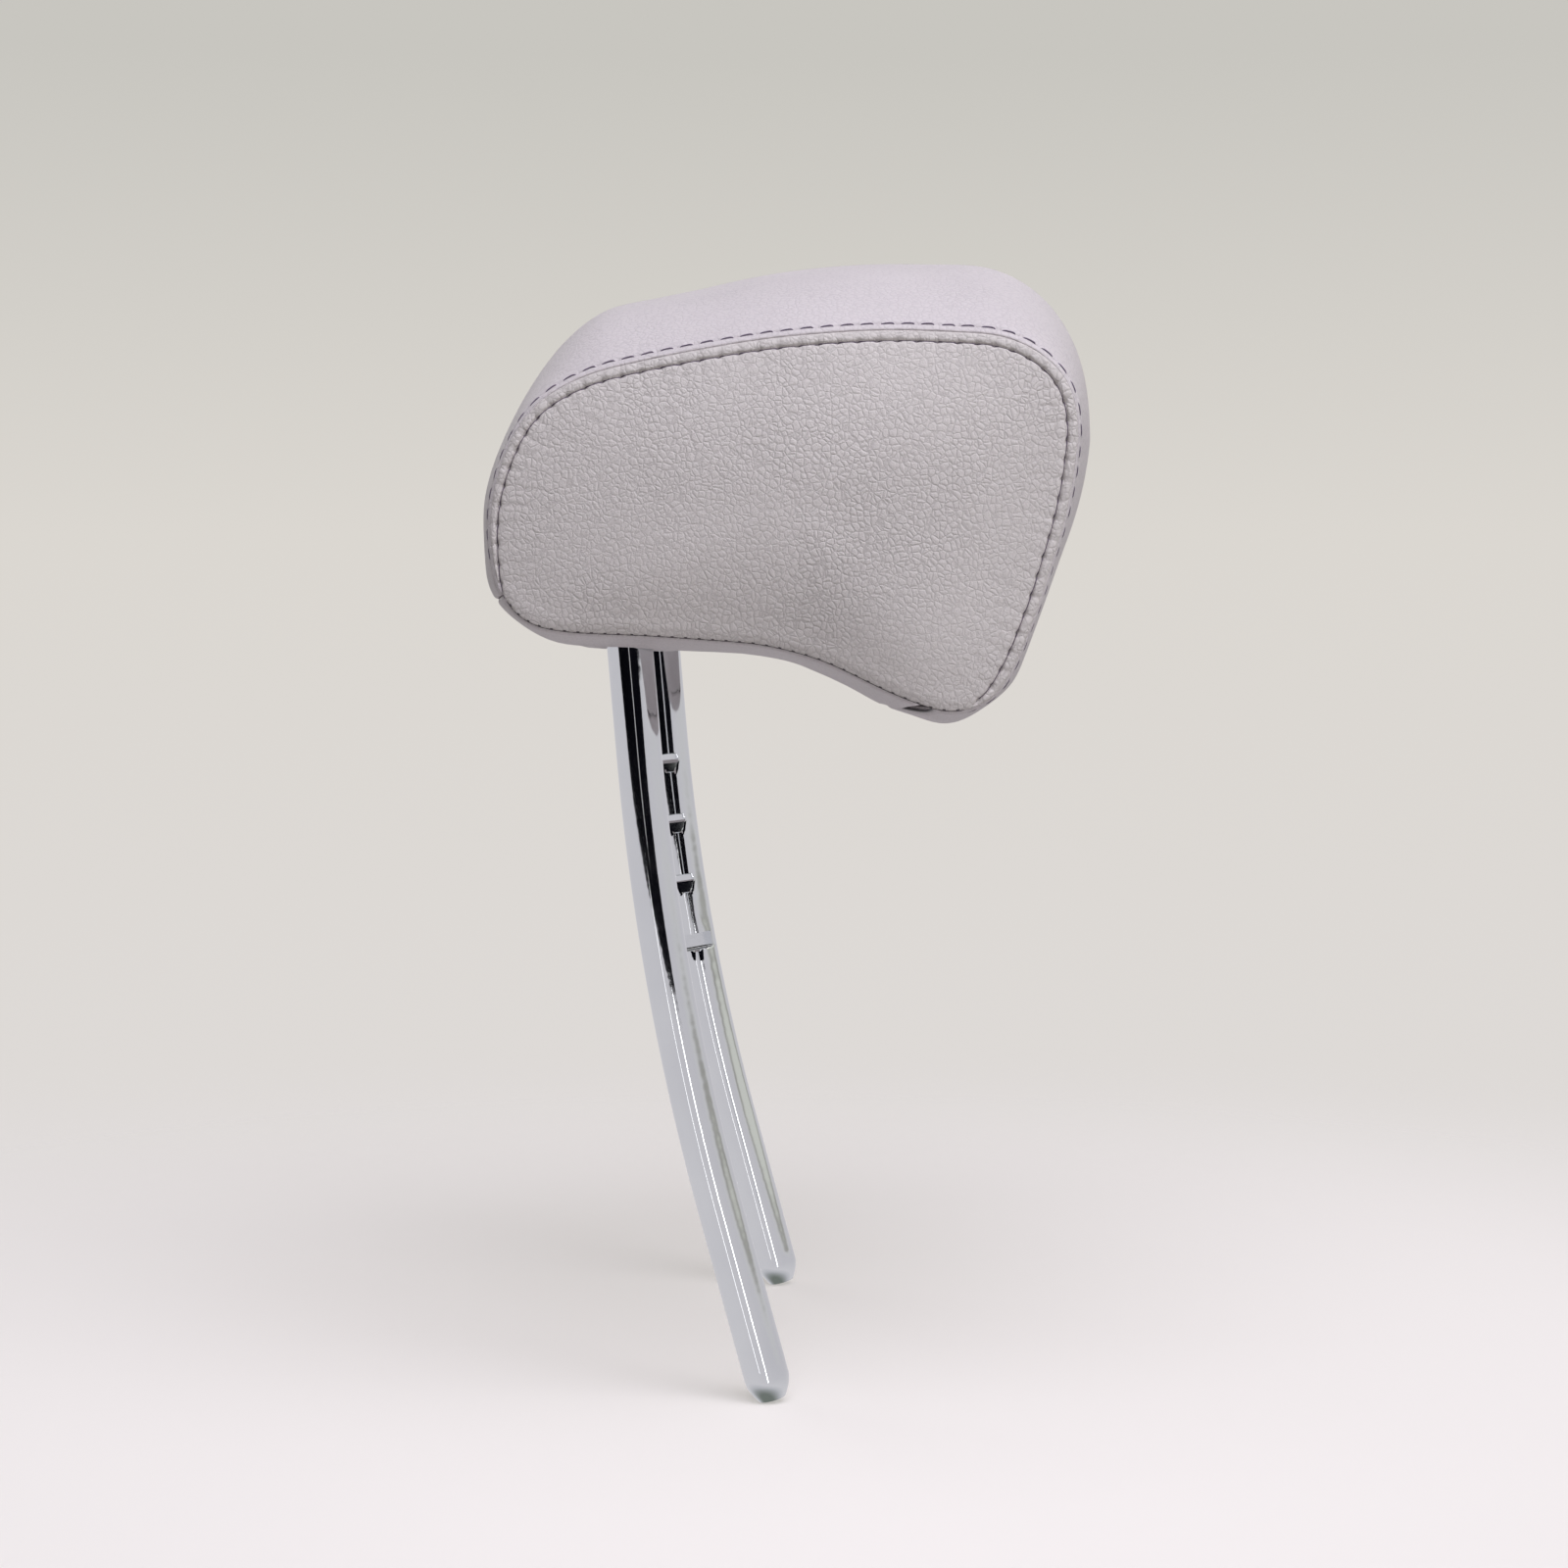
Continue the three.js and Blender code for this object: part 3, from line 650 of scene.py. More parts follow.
def inflate():
    """Blow the coarse pad up and keep how far it moves, apart from the band's mid-width."""
    points, faces = coarse_pad()
    moved = blown_up(points, faces) - points
    _, normal = outline_at(COARSE_PLACES)
    band = moved[:COARSE_STATIONS * COARSE_ACROSS].reshape(COARSE_STATIONS, COARSE_ACROSS, 3)
    outward = (band[..., 1:] * normal[:, None, :]).sum(axis=-1)
    middle = outward[:, COARSE_ACROSS // 2, None]
    BAND_SWELL[:] = capped(outward - middle * crown_share(ACROSS_COARSE))
    start = COARSE_STATIONS * COARSE_ACROSS
    for side in (-1, 1):
        centre = start + COARSE_STATIONS * (COARSE_RINGS - 1)
        rings = moved[start:centre, 0].reshape(COARSE_RINGS - 1, -1).T
        SIDE_SWELL[side][:, 1:COARSE_RINGS] = capped(rings * side)
        SIDE_SWELL[side][:, COARSE_RINGS] = capped(moved[centre, 0] * side)
        start = centre + 1


inflate()


# Side panels

LIP_SHARES = (0.0, 0.03, 0.08, 0.15, 0.26, 0.4, 0.55, 0.68, 0.78, 0.86, 0.92, 0.97)
PAST_ROW_STEPS = (0.0, 0.09, 0.2, 0.34, 0.5, 0.7, 1.0, 1.4, 2.0, 2.9, 4.2, 6.0)
BAND_STEPS = (0.0, 0.08, 0.18, 0.32, 0.55, 0.9, 1.3, 1.65, 1.95, 2.2, 2.4, 2.5, 2.6, 2.8, 3.05,
              3.35, 3.8, 4.6, 6.0, 8.4)
PLAIN_STEPS = (0.0, 0.1, 0.25, 0.45, 0.7, 1.1, 1.7, 2.6, 3.8, 5.2, 7.0)
LEAST_INSET = 0.5
SEAM_SAMPLES = int(round(SEAM_LENGTH / (STITCH_PITCH / 8)))
PANEL_RINGS = 14
BAND_MIDDLE_COLUMNS = 14


def side_flat(station, distance):
    """Flat place of a side panel at a distance inward from its seam."""
    point, normal = outline_at(station)
    return point - normal * distance[..., None]


def side_at(station, distance, side):
    return side_surface(side_flat(station, distance), side)


def side_panel(side, material):
    """One domed side panel: fine columns at its sewn edge, rings in to its centre."""
    stations = even_stations(SEAM_SAMPLES)
    inset = np.maximum(row_inset(stations), LEAST_INSET)[:, None]
    steps = np.concatenate([inset * np.array(LIP_SHARES), inset + np.array(PAST_ROW_STEPS)], axis=1)
    edge = side_flat(np.broadcast_to(stations[:, None], steps.shape), steps)
    shares = 1.0 - np.arange(1, PANEL_RINGS + 1)[None, :, None] / (PANEL_RINGS + 0.3)
    centre = np.array(PANEL_CENTRE)
    middle = centre + (edge[:, -1:, :] - centre) * shares
    flat = np.concatenate([edge, middle], axis=1)
    depth = np.hypot(*(edge[:, -1] - centre).T)[:, None]
    distance = np.concatenate([steps, steps[:, -1:] + depth * (1.0 - shares[..., 0])], axis=1)
    base = side_surface(flat, side)
    base[..., 0] += side * SEAM_GAP
    normals = grid_normals(base, wrap=True) * side
    relief = side_relief(distance, stations[:, None], seed=3 + side)
    outer = base + normals * relief[..., None]
    inner = base - normals * COVER_THICKNESS
    rows, columns = distance.shape
    quads = grid_quads(rows, columns, wrap=True)
    last = np.arange(rows) * columns + columns - 1
    pole = rows * columns
    fan = np.stack([last, np.roll(last, -1), np.full(rows, pole)], axis=1)
    tip = side_surface(np.array(PANEL_CENTRE), side) + np.array([side * SEAM_GAP, 0.0, 0.0])
    inner_tip = tip - np.array([side * COVER_THICKNESS, 0.0, 0.0])
    points, faces = closed_shell(
        np.vstack([outer.reshape(-1, 3), tip]), np.vstack([inner.reshape(-1, 3), inner_tip]),
        turned(quads, side < 0) + turned(fan, side < 0))
    name = "side_leather_left" if side < 0 else "side_leather_right"
    return new_object(name, points, faces, material)


# Band and underside

ACROSS = HALF_SEAM * np.sin(np.linspace(math.pi / 2, 0.0, 600))
ACROSS_SHARE = crown_share(ACROSS)


def across_lengths(station):
    """Length over the crown, from the seam to each dense place across."""
    steps = np.hypot(np.diff(ACROSS), crown_at(station)[..., None] * np.diff(ACROSS_SHARE))
    starts = np.zeros(steps.shape[:-1] + (1,))
    return np.concatenate([starts, np.cumsum(steps, axis=-1)], axis=-1)


def across_place(station, distance):
    """Place across the band at a distance from the seam, measured over the crown."""
    lengths = across_lengths(station)
    flat_lengths = lengths.reshape(-1, lengths.shape[-1])
    flat_distance = distance.reshape(len(flat_lengths), -1)
    places = [np.interp(d, row, ACROSS) for d, row in zip(flat_distance, flat_lengths)]
    return np.array(places).reshape(distance.shape)


def band_at(station, distance, side):
    place = across_place(station, distance[..., None])[..., 0]
    return band_surface(station, side * place)


def with_fine_ends(first, last, spacing, steps):
    """Stations that are close together near both ends and even between them."""
    steps = np.array(steps)
    inner_first, inner_last = first + steps[-1], last - steps[-1]
    count = max(int(round((inner_last - inner_first) / spacing)), 1)
    even = np.linspace(inner_first, inner_last, count + 1)[1:-1]
    return np.concatenate([first + steps, even, last - steps[::-1]])


def closure_sweep(from_seam, from_end, reach):
    """How far the closure bends towards the nose, by distance from the seam and from the end."""
    return -CLOSURE_SWEEP * (1.0 - smoothstep((from_seam - CLOSURE_HOLD) / CLOSURE_EASE)) * (
        1.0 - smoothstep(from_end / reach))


def cover_band(material):
    """The strip over rear, top and front, with fine columns at both sewn edges."""
    last = CLOSURE + (SEAM_LENGTH if CLOSURE < REAR_SEAM else 0.0)
    stations = with_fine_ends(REAR_SEAM, last, STITCH_PITCH / 8, PLAIN_STEPS[:8])
    steps = np.array(BAND_STEPS)
    whole = across_lengths(stations)[:, -1]
    shares = np.linspace(0.0, 1.0, BAND_MIDDLE_COLUMNS + 1)[1:]
    half = np.concatenate([
        np.broadcast_to(steps, (len(stations), len(steps))),
        steps[-1] + (whole[:, None] - steps[-1]) * shares,
    ], axis=1)
    places = across_place(stations, half)
    across = np.concatenate([-places, places[:, -2::-1]], axis=1)
    distance = np.concatenate([half, half[:, -2::-1]], axis=1)
    to_rear, to_closure = stations[:, None] - REAR_SEAM, last - stations[:, None]
    column = stations[:, None] + closure_sweep(distance, to_closure, BAND_SWEEP_REACH)
    base = band_surface(column, across)
    base[..., 0] *= 1.0 - SEAM_GAP / HALF_SEAM
    normals = grid_normals(base, wrap=False)
    relief = np.where(
        across < 0,
        band_relief(distance, column, seed=21),
        band_relief(distance, column, seed=22))
    relief = np.maximum(relief + edge_roll(to_rear, *REAR_ROLL), -DEEPEST_BAND)
    relief = relief + edge_roll(to_closure, CLOSURE_ROLL, CLOSURE_ROLL)
    outer = base + normals * relief[..., None]
    inner = base - normals * (COVER_THICKNESS + BAND_BACKING)
    faces = list(grid_quads(*distance.shape))
    points, faces = closed_shell(outer.reshape(-1, 3), inner.reshape(-1, 3), faces)
    return new_object("band_leather", points, faces, material)


def post_axis(station):
    """Place (y, z) and lean of the post's axis at a distance from its end."""
    bend = BEND_RADIUS * (LOWER_LEAN - UPPER_LEAN)
    straight = min(station, LOWER_STRAIGHT)
    y, z = straight * math.sin(LOWER_LEAN), straight * math.cos(LOWER_LEAN)
    if station <= LOWER_STRAIGHT:
        return y, z, LOWER_LEAN
    bent = min(station - LOWER_STRAIGHT, bend)
    lean = LOWER_LEAN - bent / BEND_RADIUS
    y += BEND_RADIUS * (math.cos(lean) - math.cos(LOWER_LEAN))
    z += BEND_RADIUS * (math.sin(LOWER_LEAN) - math.sin(lean))
    past = max(station - LOWER_STRAIGHT - bend, 0.0)
    return y + past * math.sin(lean), z + past * math.cos(lean), lean


CLOSURE_LAP = 2.0
UNDERSIDE_FIRST = CLOSURE - CLOSURE_LAP
UNDERSIDE_LAST = REAR_SEAM + (SEAM_LENGTH if REAR_SEAM < CLOSURE else 0.0)


def post_hole_station():
    """Station of the seam at which the posts pass through the underside."""
    stations = np.linspace(UNDERSIDE_FIRST, UNDERSIDE_LAST, 800)
    surface = band_surface(stations, np.full(stations.shape, POST_PLACE))
    rise = surface[:, 2] - post_axis(LOWER_STRAIGHT + BEND_RADIUS)[1]
    axis_y = post_axis(LOWER_STRAIGHT + BEND_RADIUS)[0] + rise * math.tan(UPPER_LEAN)
    return stations[np.argmin(np.abs(surface[:, 1] - axis_y))]


HOLE_STATION = post_hole_station()
HOLE_RADIUS = POST_RADIUS + HOLE_CLEARANCE
HOLE_SHARES = (0.22, 0.42, 0.58, 0.7, 0.79, 0.86, 0.91, 0.945, 0.97, 0.987, 1.0)
WINDOW_HALF = 13.0
WINDOW_CELLS = 16
UNDERSIDE_SPACING = 2.0


def underside_lines():
    """Stations along the underside, and places across it, with windows for the posts."""
    low, high = HOLE_STATION - WINDOW_HALF, HOLE_STATION + WINDOW_HALF
    before = with_fine_ends(
        UNDERSIDE_FIRST, low + PLAIN_STEPS[-1], UNDERSIDE_SPACING, PLAIN_STEPS)
    after = with_fine_ends(
        high - PLAIN_STEPS[-1], UNDERSIDE_LAST, UNDERSIDE_SPACING, PLAIN_STEPS)
    before, after = before[before < low - 0.5], after[after > high + 0.5]
    stations = np.concatenate([before, np.linspace(low, high, WINDOW_CELLS + 1), after])
    edge = across_place(
        stations, np.broadcast_to(np.array(PLAIN_STEPS), (len(stations), len(PLAIN_STEPS))))
    outside, inside = POST_PLACE + WINDOW_HALF, POST_PLACE - WINDOW_HALF
    approach = edge[:, -1:] + (outside - edge[:, -1:]) * np.linspace(0, 1, 10)[1:-1]
    fixed = np.concatenate([
        np.linspace(outside, inside, WINDOW_CELLS + 1), np.linspace(inside, 0.0, 24)[1:]])
    half = np.concatenate([
        edge, approach, np.broadcast_to(fixed, (len(stations), len(fixed)))], axis=1)
    across = np.concatenate([-half, half[:, -2::-1]], axis=1)
    return stations, across, len(before), edge.shape[1] + approach.shape[1]


def hole_roll(distance):
    """Relief of the leather turned in around a post, by distance from the hole's edge."""
    return puff(distance, *HOLE_PUFF) + edge_roll(distance, *HOLE_ROLL)


def underside_skins(station, place, hole_distance):
    """Outer and inner points of the underside's leather."""
    from_seam = HALF_SEAM - np.abs(place)
    from_closure, to_rear = station - UNDERSIDE_FIRST, UNDERSIDE_LAST - station
    swept = station + closure_sweep(from_seam, from_closure, UNDERSIDE_SWEEP_REACH)
    base = band_surface(swept, place)
    base[..., 0] *= 1.0 - SEAM_GAP / HALF_SEAM
    _, normal = outline_at(swept)
    slope = band_surface(swept, place + 0.5) - band_surface(swept, place - 0.5)
    along = np.stack([np.zeros_like(place), *np.broadcast_arrays(-normal[..., 1], normal[..., 0])],
                     axis=-1)
    normals = np.cross(along, slope)
    normals /= np.linalg.norm(normals, axis=-1, keepdims=True)
    relief = plain_relief(from_seam) + edge_roll(to_rear, *REAR_ROLL) + hole_roll(hole_distance)
    towards_middle = smoothstep((from_seam - TUCK_FROM) / TUCK_OVER)
    ramp = TUCK_NEAR_SEAM + (TUCK_MIDDLE - TUCK_NEAR_SEAM) * towards_middle
    tuck = CLOSURE_TUCK * smoothstep(1.5 - from_closure / ramp)
    relief = np.maximum(relief, -DEEPEST_UNDERSIDE) - tuck
    inward = COVER_THICKNESS + UNDERSIDE_BACKING
    return base + normals * relief[..., None], base - normals * inward


def hole_rings(loop, loop_stations, loop_across, count):
    """Rings of skin points from a window's edge in to the post's hole, and their faces."""
    hole_x = math.copysign(POST_PLACE, loop_across[0])
    arm = np.stack([loop_stations - HOLE_STATION, loop_across - hole_x], axis=1)
    reach = np.linalg.norm(arm, axis=1)
    direction = arm / reach[:, None]
    skins, faces = [], []
    previous = loop
    for share in HOLE_SHARES:
        radius = reach + (HOLE_RADIUS - reach) * share
        skins.append(underside_skins(
            HOLE_STATION + direction[:, 0] * radius, hole_x + direction[:, 1] * radius,
            radius - HOLE_RADIUS))
        ring = count + np.arange(len(loop))
        count += len(loop)
        faces += list(np.stack([previous, np.roll(previous, -1), np.roll(ring, -1), ring], axis=1))
        previous = ring
    return skins, faces


def cover_underside(material):
    """The underside panel, with a round hole for each post."""
    stations, across, window_row, window_column = underside_lines()
    rows, columns = across.shape
    column = np.broadcast_to(stations[:, None], across.shape)
    hole_distance = np.hypot(column - HOLE_STATION, np.abs(across) - POST_PLACE) - HOLE_RADIUS
    outer, inner = underside_skins(column, across, hole_distance)
    ids = np.arange(rows * columns).reshape(rows, columns)
    keep = np.ones((rows - 1, columns - 1), dtype=bool)
    quads = grid_quads(rows, columns).reshape(rows - 1, columns - 1, 4)
    outer_points, inner_points = [outer.reshape(-1, 3)], [inner.reshape(-1, 3)]
    ring_faces = []
    for start in (window_column, columns - 1 - window_column - WINDOW_CELLS):
        keep[window_row:window_row + WINDOW_CELLS, start:start + WINDOW_CELLS] = False
        window = ids[window_row:window_row + WINDOW_CELLS + 1, start:start + WINDOW_CELLS + 1]
        loop = np.concatenate([
            window[:-1, 0], window[-1, :-1], window[:0:-1, -1], window[0, :0:-1]])
        skins, new_faces = hole_rings(
            loop, stations[loop // columns], across.reshape(-1)[loop], sum(map(len, outer_points)))
        outer_points += [ring_outer for ring_outer, _ in skins]
        inner_points += [ring_inner for _, ring_inner in skins]
        ring_faces += new_faces
    points, faces = closed_shell(
        np.vstack(outer_points), np.vstack(inner_points), [*quads[keep], *ring_faces])
    used = np.unique(np.concatenate(faces))
    renumber = np.zeros(len(points), dtype=int)
    renumber[used] = np.arange(len(used))
    return new_object(
        "underside_leather", points[used], [renumber[face] for face in faces], material)


# Stitches: short lengths of thread that dive into the leather at both ends

THREAD_GAP = 0.1
THREAD_SLANT = 0.3
THREAD_SUNK = 0.42
THREAD_DIVE = 0.7
DASH_GAP = 1.5
DASH_SLANT = 0.42
DASH_HEIGHT = 0.12
DASH_DIVE = 0.74
DASHES_LEFT_OUT = 2

# Plain seam, a dark line painted as the seam's shade and the showing stitch: length, rise off the
# fold, depth behind the seam
PLAIN_THREAD_AND_SHADE_LINES = ((PLAIN_PITCH, -0.27, 0.22), (0.9, -0.5, -0.25))


def surface_frames(surface, station, distance, side, turn):
    """Points of a surface and its outward directions, at stations and distances."""
    step = 0.05
    here = surface(station, distance, side)
    along = surface(station + step, distance, side) - surface(station - step, distance, side)
    inward = surface(station, distance + step, side) - surface(station, distance - step, side)
    normal = np.cross(along, inward) * turn
    return here, normal / np.linalg.norm(normal, axis=-1, keepdims=True)


def thread_tubes(name, paths, material, radius=THREAD_RADIUS):
    """One object with a closed tube along each path of points."""
    points, faces = [], []
    count, turns = 0, np.arange(TUBE_SIDES) * 2 * math.pi / TUBE_SIDES
    for path in paths:
        along = np.gradient(path, axis=0)
        along /= np.linalg.norm(along, axis=1)[:, None]
        sideways = np.cross(along, np.eye(3)[np.argmin(np.abs(along.mean(axis=0)))])
        sideways /= np.linalg.norm(sideways, axis=1)[:, None]
        upward = np.cross(sideways, along)
        taper = radius * np.minimum(1.0, 0.62 + np.sin(np.linspace(0, math.pi, len(path))))
        rings = (path[:, None] + taper[:, None, None] * (
            sideways[:, None] * np.cos(turns)[None, :, None]
            + upward[:, None] * np.sin(turns)[None, :, None]))
        points.append(rings.reshape(-1, 3))
        faces += [[count + corner for corner in face[::-1]]
                  for face in tube_faces(len(path), TUBE_SIDES)]
        count += len(path) * TUBE_SIDES
    return new_object(name, np.vstack(points), faces, material)


def stitch_middles():
    """Stations midway between needle holes, along the topstitched part of the seam."""
    first = math.floor(REAR_SEAM / STITCH_PITCH)
    count = int(np.mod(NOSE_END - REAR_SEAM, SEAM_LENGTH) // STITCH_PITCH) + 1
    return (first + np.arange(count) + 0.5) * STITCH_PITCH


def side_topstitch(name, side, material):
    """Thread lying in the crease of the side panel, deeper at each needle hole."""
    rng = np.random.default_rng(RNG_SEED + 30 + side)
    shares = np.linspace(-0.5, 0.5, 11)
    paths = []
    for middle in stitch_middles():
        station = middle + shares * (STITCH_PITCH - THREAD_GAP)
        distance = row_inset(station) + THREAD_SLANT * shares + rng.normal(0, 0.03)
        here, normal = surface_frames(side_at, station, distance, side, side)
        height = -THREAD_SUNK - THREAD_DIVE * np.abs(2 * shares) ** 5 + rng.normal(0, 0.03)
        paths.append(here + normal * height[:, None])
    return thread_tubes(name, paths, material)


def band_topstitch(name, side, material):
    """Slanted dashes of thread lying on the band."""
    rng = np.random.default_rng(RNG_SEED + 40 + side)
    shares = np.linspace(-0.5, 0.5, 9)
    paths = []
    for middle in stitch_middles()[DASHES_LEFT_OUT:]:
        station = middle + rng.normal(0, 0.08) + shares * (STITCH_PITCH - DASH_GAP)
        distance = BAND_ROW + rng.normal(DASH_SLANT, 0.08) * shares + rng.normal(0, 0.04)
        here, normal = surface_frames(band_at, station, distance, side, -side)
        height = DASH_HEIGHT - DASH_DIVE * np.abs(2 * shares) ** 5
        paths.append(here + normal * height[:, None])
    return thread_tubes(name, paths, material)


def plain_stitches_and_shade_line(name, side, material):
    """The dark line of the plain seam, a tube that paints the seam's shade, and the stitches that
    show in it.
    """
    length = np.mod(REAR_SEAM - NOSE_END, SEAM_LENGTH)
    paths = []
    for i in range(int(length // PLAIN_PITCH)):
        middle = NOSE_END + (i + 0.5) * PLAIN_PITCH
        for span, rise, depth in PLAIN_THREAD_AND_SHADE_LINES:
            shares = np.linspace(-0.5, 0.5, 6)
            point, normal = outline_at(middle + shares * span)
            point = point + normal * rise
            paths.append(np.column_stack([np.full(len(shares), side * (HALF_SEAM - depth)), point]))
    return thread_tubes(name, paths, material)


def closure_slit(material):
    """A dark tube in the slit where the band meets the underside: it stands for the edge of the
    hooked strip, coloured dark as the slit's painted shade.
    """
    whole = across_lengths(np.array([CLOSURE]))[0, -1]
    distance = np.linspace(SLIT_FIRST, whole, SLIT_STEPS)
    station = CLOSURE + SLIT_OFFSET + closure_sweep(distance, 0.0, BAND_SWEEP_REACH)
    half = across_place(station, distance[:, None])[:, 0]
    paths = []
    for side in (-1, 1):
        point = band_surface(station, side * half)
        _, normal = outline_at(station)
        point[:, 1:] -= normal * SLIT_DEPTH
        paths.append(point)
    joined = np.vstack([paths[0], paths[1][-2::-1]])
    return thread_tubes("closure_slit", [joined], material, SLIT_RADIUS)


# Post bar

CHORD_STEPS = 14
ROUND_STEPS = 44
SHARP_ANGLE = math.radians(28)

# Root of a latch notch: drop below the shoulder, and how much deeper than the notch
LATCH_ROOTS = ((EDGE_BEVEL, -0.1), (LATCH_ROOT - 0.15, 0.05), (LATCH_ROOT, 0.055))

# Stop notch: drop below its upper shoulder, depth of cut, depth that gives the flat's width
STOP_RINGS = (
    (-EDGE_BEVEL, 0.0, STOP_DEPTH), (EDGE_BEVEL, STOP_DEPTH, STOP_DEPTH),
    (STOP_HEIGHT - 0.85, STOP_DEPTH, STOP_DEPTH), (STOP_HEIGHT - 0.7, STOP_DEPTH, STOP_DEPTH),
    (STOP_HEIGHT - 0.2, STOP_DEPTH - 0.2, STOP_DEPTH - 0.2),
    (STOP_HEIGHT, STOP_DEPTH - 0.7, STOP_DEPTH - 0.7), (STOP_HEIGHT + 0.3, 0.3, 0.7),
    (STOP_HEIGHT + 0.7, 0.0, 0.7), (STOP_HEIGHT + 4.0, 0.0, LATCH_DEPTH))


def half_angle(depth):
    """Half the angle that a flat of the given depth spans on the post."""
    return math.acos(1.0 - depth / POST_RADIUS)


def notch_rings():
    """Rings of the notched stretch: place, depth of cut and half angle of the flat."""
    rings = []
    latch = half_angle(LATCH_DEPTH)
    toe = half_angle(LATCH_TOE_DEPTH)
    for i in range(LATCH_NOTCHES):
        top = TOP_NOTCH - i * NOTCH_PITCH
        rings += [(top + 1.5, 0.0, latch), (top + EDGE_BEVEL, 0.0, latch)]
        for drop, deeper in LATCH_ROOTS:
            depth = LATCH_DEPTH + deeper
            rings.append((top - drop, depth, half_angle(depth)))
        for share in (0.03, 0.33, 0.66):
            depth = LATCH_DEPTH + (LATCH_TOE_DEPTH - LATCH_DEPTH) * share
            drop = LATCH_ROOT + (LATCH_HEIGHT - LATCH_ROOT) * share
            rings.append((top - drop, depth, half_angle(depth)))
        rings += [(top - LATCH_HEIGHT + EDGE_BEVEL, LATCH_TOE_DEPTH, toe),
                  (top - LATCH_HEIGHT - EDGE_BEVEL, 0.0, toe)]
        for share in (0.5, 1.0):
            rings.append((top - LATCH_HEIGHT - 2.0 * share, 0.0, toe + (latch - toe) * share))
    top = TOP_NOTCH - LATCH_NOTCHES * NOTCH_PITCH
    deep = half_angle(STOP_DEPTH)
    rings += [(top + 6.0, 0.0, latch), (top + 3.0, 0.0, (latch + deep) / 2)]
    rings += [(top - drop, depth, half_angle(flat)) for drop, depth, flat in STOP_RINGS]
    return sorted(rings)


def post_places(side, rings):
    """Frames of the rings of one post, from its tip upwards."""
    places = []
    for station, depth, angle in rings:
        y, z, lean = post_axis(station)
        reach = min(station / TIP_TAPER, 1.0)
        radius = TIP_FLAT_RADIUS + (POST_RADIUS - TIP_FLAT_RADIUS) * math.sin(reach * math.pi / 2)
        up = np.array([0, math.sin(lean), math.cos(lean)])
        rear = np.array([0, math.cos(lean), -math.sin(lean)])
        places.append((np.array([side * POST_PLACE, y, z]), up, rear, radius, depth, angle))
    return places


def bar_places():
    """Rings of the whole bar: place, direction, rearward, radius, cut depth, flat's angle."""
    bend = BEND_RADIUS * (LOWER_LEAN - UPPER_LEAN)
    _, z, _ = post_axis(LOWER_STRAIGHT + bend)
    upper = (CROSSBAR_HEIGHT - z) / math.cos(UPPER_LEAN) - SHOULDER_RADIUS
    shoulder = LOWER_STRAIGHT + bend + upper
    plain = half_angle(LATCH_DEPTH)
    tip = [TIP_TAPER * (1 - math.cos(t)) for t in np.linspace(0, math.pi / 2, 9)]
    stations = tip + list(np.linspace(TIP_TAPER, shoulder, 64)[1:])
    plain_rings = [(station, 0.0, plain) for station in stations]
    notches = notch_rings()
    stretch = (notches[0][0] - 1.0, notches[-1][0] + 1.0)
    clear = [ring for ring in plain_rings if not stretch[0] <= ring[0] <= stretch[1]]
    left = post_places(-1, plain_rings)
    right = post_places(1, sorted(clear + notches))
    corner_y, corner_z, _ = post_axis(shoulder)
    up = np.array([0, math.sin(UPPER_LEAN), math.cos(UPPER_LEAN)])
    rear = np.array([0, math.cos(UPPER_LEAN), -math.sin(UPPER_LEAN)])
    arches = []
    for side in (-1, 1):
        bend_places = []
        for turn in np.linspace(0, math.pi / 2, 13)[1:]:
            point = np.array([side * POST_PLACE, corner_y, corner_z])
            point += up * SHOULDER_RADIUS * math.sin(turn)
            point[0] -= side * SHOULDER_RADIUS * (1 - math.cos(turn))
            along = up * math.cos(turn) - np.array([side * math.sin(turn), 0, 0])
            bend_places.append((point, along, rear, POST_RADIUS, 0.0, plain))
        arches.append(bend_places)
    down = [(point, -along, *rest) for point, along, *rest in (arches[1][::-1] + right[::-1])]
    return left + arches[0] + down


def post_bar(material):
    """The bent bar: a ring of points at each place, flattened where a notch cuts it."""
    rings = []
    for point, along, rear, radius, depth, angle in bar_places():
        inboard = np.cross(rear, along)
        chord = np.linspace(-angle, angle, CHORD_STEPS + 1)
        back = np.linspace(angle, 2 * math.pi - angle, ROUND_STEPS + 1)[1:-1]
        turns = np.concatenate([chord, back])
        across = np.minimum(np.cos(turns) * radius, radius - depth)
        rings.append(point + across[:, None] * inboard
                     + (np.sin(turns) * radius)[:, None] * rear)
    faces = tube_faces(len(rings), CHORD_STEPS + ROUND_STEPS)
    bar = new_object("chrome_post_bar", np.vstack(rings), faces, material)
    bar.data.set_sharp_from_angle(angle=SHARP_ANGLE)
    return bar


# Materials

